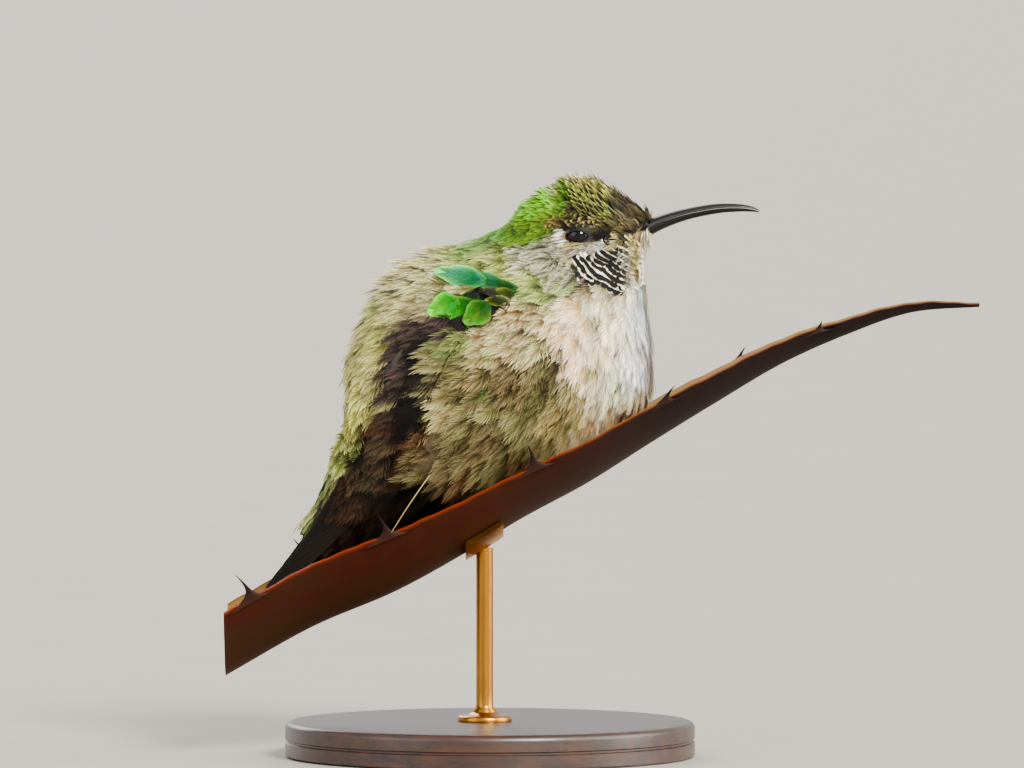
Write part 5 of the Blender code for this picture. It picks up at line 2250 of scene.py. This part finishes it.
@dataclass
class Eyes:
    """Each eyeball, and round it lids that leave an almond opening."""

    radius: float = 2.55
    rows: int = 24
    bulge: float = 0.03
    cover: float = 0.17
    lid_profile: Rows = ((-0.05, -0.5), (-0.06, -0.12), (0.0, 0.05), (0.08, 0.13), (0.2, 0.13), (0.36, 0.05),
                         (0.55, -0.06), (0.75, -0.22), (0.85, -0.6), (0.4, -0.8))  # away from the edge, proud
    sides: int = 48

    def build(self, ball_finish: Material, lid_finish: Material) -> None:
        """Makes the balls and lids of both sides."""
        for word, side in SIDES.items():
            self._ball(word, side, ball_finish)
            self._lids(word, side, lid_finish)

    def _ball(self, word: str, side: int, finish: Material) -> None:
        """The eyeball, a little bulged in front.

        Args:
            word: the side's name.
            side: 1 for the left eye, -1 for the right.
            finish: the finish.
        """
        rings, front = [], []
        for row in range(1, self.rows):
            polar = math.pi * row / self.rows
            bulge = 1.0 + self.bulge * max(0.0, math.cos(polar)) ** 3
            r, y = self.radius * math.sin(polar), self.radius * math.cos(polar) * bulge
            rings.append([(EYE.x + r * math.cos(a), side * (EYE.y + y),
                           EYE.z + r * math.sin(a)) for a in turns(self.sides)])
            front += [polar / (math.pi / 2)] * self.sides
        settle(loft(f"eyeball_{word}", rings, finish, front=front), "eye", f"eye_{word}")

    def _lids(self, word: str, side: int, finish: Material) -> None:
        """A rounded rim along the opening that slopes down under the feathers; the upper lid is narrower.

        Args:
            word: the side's name.
            side: 1 for the left eye, -1 for the right.
            finish: the finish.
        """
        x, z, long, high = OPENING
        rings, outer = [], []
        for away, proud in self.lid_profile:
            ring = []
            for a in turns(self.sides):
                rise = math.copysign(abs(math.sin(a)) ** 1.3, math.sin(a))
                edge = Vector((long * math.cos(a), high * rise))
                across = Vector((math.cos(a) / long, math.sin(a) / high)).normalized()
                width = 1.0 - 0.2 * math.sin(a) + 0.35 * max(0.0, math.cos(a)) ** 4
                spot = edge + across * away * width + Vector((x - EYE.x, z - EYE.z))
                sphere = self.radius + self.cover
                y = EYE.y + math.sqrt(max(0.2, sphere**2 - spot.length_squared)) + proud
                ring.append((EYE.x + spot.x, side * y, EYE.z + spot.y))
            rings.append(ring)
            outer += [min(1.0, max(0.0, away))] * self.sides
        rings = np.array(rings)
        faces = loft_faces(*rings.shape[:2])[:-2]
        last = (len(rings) - 1) * self.sides
        faces += [(last + k, last + (k + 1) % self.sides, (k + 1) % self.sides, k) for k in range(self.sides)]
        made = mesh_object(f"lids_{word}", rings.reshape(-1, 3), faces)
        store(made.data, outer=outer)
        settle(finished(face_outwards(made), finish), "foot_skin")


# --- feet ---

@dataclass(frozen=True)
class ScuteFinish:
    """Dark foot skin with rows of small scutes."""

    name: str = "foot_scutes"

    def material(self) -> Material:
        """Makes the material.

        Returns:
            The material.
        """
        shades = Shades(self.name, Roughness=0.5)
        cells = shades.add("ShaderNodeTexVoronoi", {"Vector": shades.places, "Scale": 2600.0})
        shades.feed("Base Color", shades.mix(cells.outputs["Distance"], tone("453830"), tone("1d1613")))
        shades.bump(cells.outputs["Distance"], 0.5, 0.06)
        return shades.material


@dataclass
class Foot:
    """One foot's skin and its four claws, smoothed from their solids."""

    word: str
    voxel: float = 0.11
    claws: int = 4

    def build(self, skin_finish: Material, horn_finish: Material) -> None:
        """Makes the foot and the claws."""
        settle(self._rounded(f"foot_{self.word}", 5, skin_finish), "foot_skin", f"foot_{self.word}")
        for n in range(1, self.claws + 1):
            name = f"claw_{self.word}_{n}"
            settle(self._rounded(name, 3, horn_finish), "claw", name)

    def _rounded(self, node: str, smoothing: int, finish: Material) -> Object:
        """A smoothed copy of a node.

        Args:
            node: the node's name.
            smoothing: rounds of smoothing.
            finish: the finish.

        Returns:
            The copy.
        """
        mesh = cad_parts[node].data.copy()
        mesh.name = node + "_rounded"
        with edited(mesh) as bm:
            weld(bm)
        return finished(evened(linked(mesh.name, mesh), self.voxel, smoothing), finish)


# --- leaf ---

@dataclass(frozen=True)
class Spine:
    """One hooked thorn: where along the leaf, on which edge, how long and how far it leans along the leaf."""

    x: float
    side: int
    length: float
    lean: float


@dataclass(frozen=True)
class LeafFinish:
    """A dry leathery leaf: dark red-brown outside, mauve to olive inside; its edges are painted bright orange
    as light glowing through them, and its outer face is painted darker towards the front as shade.
    """

    name: str = "leaf_blade"

    def material(self) -> Material:
        """Makes the material; it reads how far across the leaf a point is, and on which face.

        Returns:
            The material.
        """
        shades = Shades(self.name, Roughness=0.6, Specular_IOR_Level=0.12)
        across = shades.attribute("across")
        inner = shades.attribute("inner")
        away = shades.maths("ABSOLUTE", across)
        lines = shades.add("ShaderNodeCombineXYZ", {0: shades.times(across, 9.0),
                                                    1: shades.times(shades.attribute("along"), 0.035),
                                                    2: inner})
        fibres = shades.add("ShaderNodeTexNoise", {"Vector": lines.outputs[0], "Scale": 6.0, "Detail": 5.0,
                                                   "Roughness": 0.65}).outputs[0]
        clouds = shades.noise(9.0, detail=4.0, stretch=(0.35, 1.0, 1.0))
        # painted shade: the outer face darkens towards the front, and the painted glow of its edges fades
        # there
        ahead = shades.add("ShaderNodeMapRange", {"Value": shades.attribute("along"), "From Min": 2.0,
                                                  "From Max": 32.0}).outputs[0]
        outside = shades.mix(fibres, tone("3c180b"), tone("5a2c18"))
        outside = shades.mix(shades.ramp(clouds, (0.4, 0.0), (0.7, 0.8)), outside, tone("46301a"))
        low = shades.ramp(away, (0.2, 1.0), (0.7, 0.0))
        outside = shades.mix(shades.times(low, 0.35), outside, tone("57401f"))
        # painted shade on the outer face towards the front
        outside = shades.mix(shades.times(ahead, 0.9), outside, tone("1a0c06"))
        inside = shades.mix(fibres, tone("8c5c50"), tone("a08058"))
        inside = shades.mix(shades.ramp(clouds, (0.4, 0.0), (0.65, 1.0)), inside, tone("8a7a3c"))
        face = shades.mix(inner, outside, inside)
        # painted glow: orange light shining through the leaf's thin edges, dimmer towards the front
        glow = shades.times(shades.ramp(away, (0.965, 0.0), (0.985, 0.5), (0.998, 1.0)),
                          shades.scaled(ahead, -0.7, 1.0))
        # the colour of the painted glow at the edges
        warm = shades.mix(fibres, tone("6a2a0c"), tone("8f4a1e"))
        dusk = shades.ramp(shades.attribute("thorn"), (0.0, 0.0), (0.4, 1.0))
        face = shades.mix(glow, face, warm)
        thorn = shades.mix(shades.ramp(shades.attribute("thorn"), (0.5, 0.0), (1.0, 1.0)), tone("3a221a"),
                           tone("1f1614"))
        shades.feed("Base Color", shades.mix(dusk, face, thorn))
        shades.bump(fibres, 0.55, 0.12)
        return shades.material


@dataclass
class Leaf:
    """The cut length of leaf: a channel that narrows to its natural tip, with thorns along both edges."""

    stations: Rows = (
        (-49.0, 27.2, 12.2, 14.4), (-33.0, 36.0, 12.0, 14.4), (-18.0, 42.0, 11.6, 14.2),
        (-6.0, 47.3, 10.4, 13.9), (6.0, 53.2, 9.0, 13.2), (18.0, 58.7, 8.0, 12.0), (30.0, 65.2, 6.9, 10.2),
        (42.0, 71.3, 5.6, 7.9), (54.0, 77.0, 4.2, 5.5), (66.0, 81.0, 2.8, 3.4), (78.0, 83.9, 1.6, 1.8),
        (90.6, 83.9, 0.55, 0.55),
    )
    wall: float = 1.25
    wall_share: float = 0.92  # how far out the floor of the channel counts
    roundness: float = 1.7
    splay: float = 0.5
    rings: int = 150
    arcs: int = 28
    thorn_root: float = 0.8
    thorn_sides: int = 16
    thorn_steps: int = 14
    spines: tuple[Spine, ...] = (
        Spine(-43.6, RIGHT, 4.4, -0.75), Spine(-18.6, RIGHT, 4.0, -0.55), Spine(8.4, RIGHT, 4.2, -0.35),
        Spine(32.0, RIGHT, 3.0, 0.7), Spine(60.6, RIGHT, 1.5, 0.5), Spine(-34.0, LEFT, 4.2, -0.7),
        Spine(-6.0, LEFT, 4.2, -0.5), Spine(20.5, LEFT, 3.6, -0.4), Spine(46.0, LEFT, 2.4, 0.6),
    )

    @cached_property
    def table(self) -> np.ndarray:
        """The stations with many between them."""
        return spline(self.stations, 300)

    def at(self, x: Any) -> tuple[Any, Any, Any]:
        """The height of the edges, the depth and half the width at x, or at each x."""
        return tuple(np.interp(x, self.table[:, 0], self.table[:, k]) for k in (1, 2, 3))

    def above(self, points: np.ndarray, margin: float = 1.0) -> np.ndarray:
        """Which feathers would come through the wall of the leaf.

        Args:
            points: where feathers end.
            margin: how near the wall they may come.

        Returns:
            True for the points that are too low.
        """
        edge, depth, half = self.at(points[:, 0])
        across = np.abs(points[:, 1]) / half
        floor = edge - depth * (1 - across**self.roundness)
        return (across < self.wall_share) & (points[:, 2] < floor + margin)

    def section(self, x: float, edge: float, depth: float, half: float, outer: float, inner: float,
                reach: float = 1.0) -> tuple[list[Vector], list[float], list[float]]:
        """A ring round the wall at x.

        Args:
            x: where along the leaf.
            edge, depth, half: the channel's form there.
            outer, inner: how far the two faces lie above the channel's floor.
            reach: how far across it goes, 1 for all.

        Returns:
            The ring, how far across each of its points is, and 1 where it is on the inner face.
        """
        ring, across, face = [], [], []
        shares = [reach * math.sin(math.pi / 2 * (2 * k / self.arcs - 1)) for k in range(self.arcs + 1)]
        for offset, row, inside in ((outer, shares, 0.0), (inner, shares[::-1], 1.0)):
            for s in row:
                slope = depth * self.roundness * abs(s) ** (self.roundness - 1) / half * math.copysign(1, s)
                normal = Vector((0, -slope, 1)).normalized()
                thin = 1.0 if reach < 1 else (1 - 0.55 * abs(s) ** 6)
                point = Vector((x, s * half, edge - depth * (1 - abs(s) ** self.roundness)))
                ring.append(point + normal * offset * (thin if inside else 1.0))
                across.append(s)
                face.append(inside)
        return ring, across, face

    def build(self, finish: Material) -> Object:
        """Makes the blade and its thorns as one piece.

        Args:
            finish: the finish.

        Returns:
            The leaf.
        """
        rings, across, inner, along = [], [], [], []
        rows = spline(self.stations, self.rings)
        for x, edge, depth, half in rows:
            wobble = 0.12 * math.sin(x * 0.9) * math.sin(x * 0.37)
            wall = min(self.wall, 0.35 + 0.8 * half)
            ring, spread, face = self.section(x, edge + wobble, depth + wobble, half, 0.0, wall)
            rings.append(ring)
            across += spread
            inner += face
            along += [x] * len(ring)
        blade = loft("leaf_blade", rings, finish, across=across, inner=inner, along=along,
                     thorn=np.zeros(len(across)))
        thorns = [self._thorn(spine, finish) for spine in self.spines]
        return settle(joined("leaf_blade", [blade, *thorns]), "leaf", "leaf")

    def _thorn(self, spine: Spine, finish: Material) -> Object:
        """A thorn with a long flared foot along the edge and a fine hooked point.

        Args:
            spine: the thorn's place and size.
            finish: the finish.

        Returns:
            The thorn.
        """
        edge, _, half = self.at(spine.x)
        rings, thorn = [], []
        for n in range(self.thorn_steps + 1):
            t = n / self.thorn_steps
            rise = -self.thorn_root + (spine.length + self.thorn_root) * t
            centre = Vector((spine.x + spine.lean * spine.length * t**1.7, spine.side * (
                half - 0.55 + self.splay * spine.length * t), edge + rise))
            slope = self.at(spine.x + 1)[0] - self.at(spine.x - 1)[0]
            long, thick = 4.2 * (1 - t) ** 6 + 0.62 * (1 - t) + 0.06, 0.5 * (1 - t) + 0.06
            ring = []
            for a in turns(self.thorn_sides):
                shift = long * math.cos(a)
                ring.append(centre + Vector((shift, thick * math.sin(a), shift * slope / 2 * (1 - t) ** 2)))
            rings.append(ring)
            thorn += [min(1.0, 0.15 + 1.3 * t)] * self.thorn_sides
        count = len(thorn)
        return loft("thorn", rings, finish, across=np.full(count, 0.9), inner=np.zeros(count),
                    along=np.full(count, spine.x), thorn=thorn)


# --- stand ---

@dataclass(frozen=True)
class WoodFinish:
    """Waxed dark wood with its grain along X."""

    name: str = "stand_walnut"

    def material(self) -> Material:
        """Makes the material.

        Returns:
            The material.
        """
        shades = Shades(self.name, Roughness=0.4, Coat_Weight=0.25, Coat_Roughness=0.3)
        bent = shades.noise(30.0, detail=2.0)
        shifted = shades.add("ShaderNodeVectorMath", {0: shades.places, 1: shades.add(
            "ShaderNodeCombineXYZ", {1: shades.times(bent, 0.012)}).outputs[0]}, operation="ADD")
        mapped = shades.add("ShaderNodeMapping", {"Vector": shifted.outputs[0], "Scale": (0.06, 1.0, 1.0)})
        rings = shades.add("ShaderNodeTexNoise", {"Vector": mapped.outputs[0], "Scale": 420.0, "Detail": 6.0,
                                                  "Roughness": 0.62}).outputs[0]
        pores = shades.noise(0.5, detail=2.0, stretch=(0.05, 1.0, 1.0))
        colour = shades.mix(shades.ramp(rings, (0.3, 0.0), (0.7, 1.0)), tone("2a1911"), tone("5a3a26"))
        colour = shades.mix(shades.ramp(pores, (0.58, 0.0), (0.7, 0.8)), colour, tone("170d08"))
        shades.feed("Base Color", colour)
        shades.bump(pores, 0.25, 0.1)
        return shades.material


@dataclass(frozen=True)
class BrassFinish:
    """Brushed brass, a little darkened where it was handled."""

    name: str = "stand_brass"

    def material(self) -> Material:
        """Makes the material.

        Returns:
            The material.
        """
        shades = Shades(self.name, Metallic=1.0)
        brushed = shades.noise(0.3, detail=3.0, stretch=(1.0, 1.0, 0.04))
        patina = shades.noise(6.0, detail=4.0)
        colour = shades.mix(patina, tone("c09a56"), tone("94713a"))
        shades.feed("Base Color", shades.mix(shades.times(brushed, 0.25), colour, tone("e0c080")))
        shades.feed("Roughness", shades.scaled(patina, 0.25, 0.18))
        shades.bump(brushed, 0.15, 0.03)
        return shades.material


@dataclass
class Stand:
    """A turned wooden base, and a brass rod whose cradle holds the leaf."""

    leaf: Leaf
    radius: float = 38.0
    height: float = 6.5
    edge: float = 1.2
    rod_x: float = -1.0
    rod_radius: float = 1.6
    cradle_length: float = 7.0
    cradle_wall: float = 1.2
    cradle_reach: float = 0.45
    gap: float = 0.3
    sides: int = 96

    def build(self, wood: Material, brass: Material) -> None:
        """Makes the base, the rod and the cradle.

        Args:
            wood: the base's finish.
            brass: the rod's and the cradle's finish.
        """
        r, h, e = self.radius, self.height, self.edge
        groove = r - 0.35
        profile = [(r - 0.6, 0.0), (r, 0.4), (r, h * 0.42), (groove, h * 0.45), (groove, h * 0.5),
                   (r, h * 0.53)]
        profile += [(r - e + e * math.cos(a), h - e + e * math.sin(a)) for a in
                    (math.pi / 2 * k / 8 for k in range(9))]
        profile += [(r * k / 12, h) for k in range(11, 0, -1)]
        settle(self._turned("stand_base_turned", profile, 0.0, wood), "stand_wood", "stand_base")
        edge, depth, _ = self.leaf.at(self.rod_x)
        top = edge - depth - self.gap - 0.75 * self.cradle_wall
        foot = h + 0.02
        profile = [(5.0, foot), (5.1, foot + 0.4), (4.9, foot + 0.9)]
        profile += [(2.3 + 2.4 * (1 - math.sin(a)), foot + 1.1 + 0.9 * (1 - math.cos(a))) for a in
                    (math.pi / 2 * k / 8 for k in range(9))]
        profile += [(self.rod_radius + 0.1, foot + 2.6), (self.rod_radius, foot + 3.0)]
        profile += [(self.rod_radius, foot + 3.0 + (top - foot - 3.0) * k / 12) for k in range(1, 13)]
        rod = self._turned("rod", profile, self.rod_x, brass, 48)
        settle(joined("stand_rod_brass", [rod, self._cradle(brass)]), "stand_brass", "stand_rod")

    def _turned(self, name: str, profile: Rows, x: float, finish: Material,
                sides: Optional[int] = None) -> Object:
        """A shape turned round an upright axis at x.

        Args:
            name: of the object.
            profile: its radius and height from the bottom up.
            x: where the axis stands.
            finish: its material.
            sides: how many it has.

        Returns:
            The object.
        """
        around = turns(sides or self.sides)
        rings = [[(x + r * math.cos(a), r * math.sin(a), z) for a in around] for r, z in profile]
        return loft(name, rings, finish)

    def _cradle(self, finish: Material) -> Object:
        """A strip of brass bent to the leaf's underside.

        Args:
            finish: the finish.

        Returns:
            The strip.
        """
        half = self.cradle_length / 2
        rings = []
        for x in np.linspace(self.rod_x - half, self.rod_x + half, 9):
            pinch = 0.12 * (abs(x - self.rod_x) / half) ** 8
            edge, depth, width = self.leaf.at(x)
            ring, _, _ = self.leaf.section(x, edge, depth, width, -self.gap - pinch,
                                           -self.gap - self.cradle_wall + pinch, self.cradle_reach)
            rings.append(ring)
        return loft("cradle", rings, finish)


# --- stage ---

@dataclass
class Studio:
    """The pale floor, the soft lights and the camera."""

    aim: Vector = field(default_factory=lambda: Vector((4.07, 0.0, 69.07)))
    width_in_view: float = 189.6
    distance: float = 2000.0
    elevation: float = 2.2
    sensor: float = 36.0
    floor_radius: float = 60000.0
    floor_gap: float = 0.02

    def build(self) -> None:
        """Makes the floor, the world, the lights and the camera."""
        self._floor()
        self._light("key", Vector((0.42, -0.8, 0.62)), 18, 8.6, (1.0, 0.975, 0.935))
        self._light("fill", Vector((-0.7, -0.5, 0.35)), 40, 1.0, (0.93, 0.96, 1.0))
        self._light("back", Vector((-0.4, 0.8, 0.6)), 30, 2.4, (1.0, 0.97, 0.93))
        self._light("front", Vector((0.95, -0.1, 0.35)), 46, 4.6, (1.0, 0.98, 0.95))
        world = bpy.data.worlds.new("studio")
        world.use_nodes = True
        world.node_tree.nodes["Background"].inputs["Color"].default_value = (0.9, 0.92, 0.94, 1.0)
        world.node_tree.nodes["Background"].inputs["Strength"].default_value = 1.05
        bpy.context.scene.world = world
        self._camera()

    def _floor(self) -> None:
        """A wide pale disc under the stand."""
        r, z = self.floor_radius, -self.floor_gap
        points = [(r * math.cos(a), r * math.sin(a), z) for a in turns(64)]
        made = mesh_object("floor", np.array(points), [range(len(points))])
        shades = Shades("studio_floor", Roughness=0.7)
        grain = shades.noise(40.0, detail=4.0)
        shades.feed("Base Color", shades.mix(grain, tone("b2afa9"), tone("b7b4ae")))
        made.data.materials.append(shades.material)

    def _light(self, name: str, way: Vector, spread: float, power: float, colour: tuple) -> None:
        """A far, soft light that comes from that way, its disc as many degrees across as spread.

        Args:
            name: the lamp's name.
            way: where the light comes from.
            spread: the disc's width in degrees.
            power: its strength.
            colour: its red, green and blue.
        """
        data = bpy.data.lights.new(name, "SUN")
        data.angle, data.energy, data.color = math.radians(spread), power, colour
        linked(name, data).rotation_euler = way.to_track_quat("Z", "Y").to_euler()

    def _camera(self) -> None:
        """A long lens on the bird's right side, a little above its middle."""
        data = bpy.data.cameras.new("camera")
        data.sensor_width = self.sensor
        data.lens = self.sensor * self.distance / self.width_in_view
        data.clip_start, data.clip_end = 0.1, 500.0
        rise = math.radians(self.elevation)
        back = Vector((0, -math.cos(rise), math.sin(rise)))
        made = linked("camera", data)
        made.location = (self.aim + back * self.distance) * MM
        made.rotation_euler = (-back).to_track_quat("-Z", "Y").to_euler()
        bpy.context.scene.camera = made


def main() -> None:
    """Dresses the bird, its perch and the stand, in that order."""
    logging.basicConfig(level=logging.INFO, format="%(relativeCreated)6d ms %(message)s")
    markings = Markings()
    feathers = FeatherFinish().material()
    skin = Skin().build()
    LOG.info("skin built")
    skin.unwrap()
    LOG.info("skin unwrapped")
    skin.dress(markings, SkinFinish().material())
    leaf = Leaf()
    plumery = Plumery(Planter(skin, leaf), VaneStock().build(), PlumageTree(), markings, feathers)
    for coat in COATS:
        coat.grow(plumery)
    for large in (LargeCoverts("wrist_coverts", "crown_feathers", WRIST_COVERTS, turned_out=1.2),
                  LargeCoverts("tail_coverts", "back_feathers", UPPER_TAIL_COVERTS)):
        large.build(plumery)
    for word, side in SIDES.items():
        FoldedWing(word, side).build(feathers)
    Tail().build(feathers)
    StrayQuill().build(feathers)
    horn = HornFinish().material()
    Bill().build(horn)
    Eyes().build(EyeFinish().material(), LidFinish().material())
    scutes = ScuteFinish().material()
    for word in SIDES:
        Foot(word).build(scutes, horn)
    leaf.build(LeafFinish().material())
    Stand(leaf).build(WoodFinish().material(), BrassFinish().material())
    Studio().build()


if __name__ == "__main__":
    main()
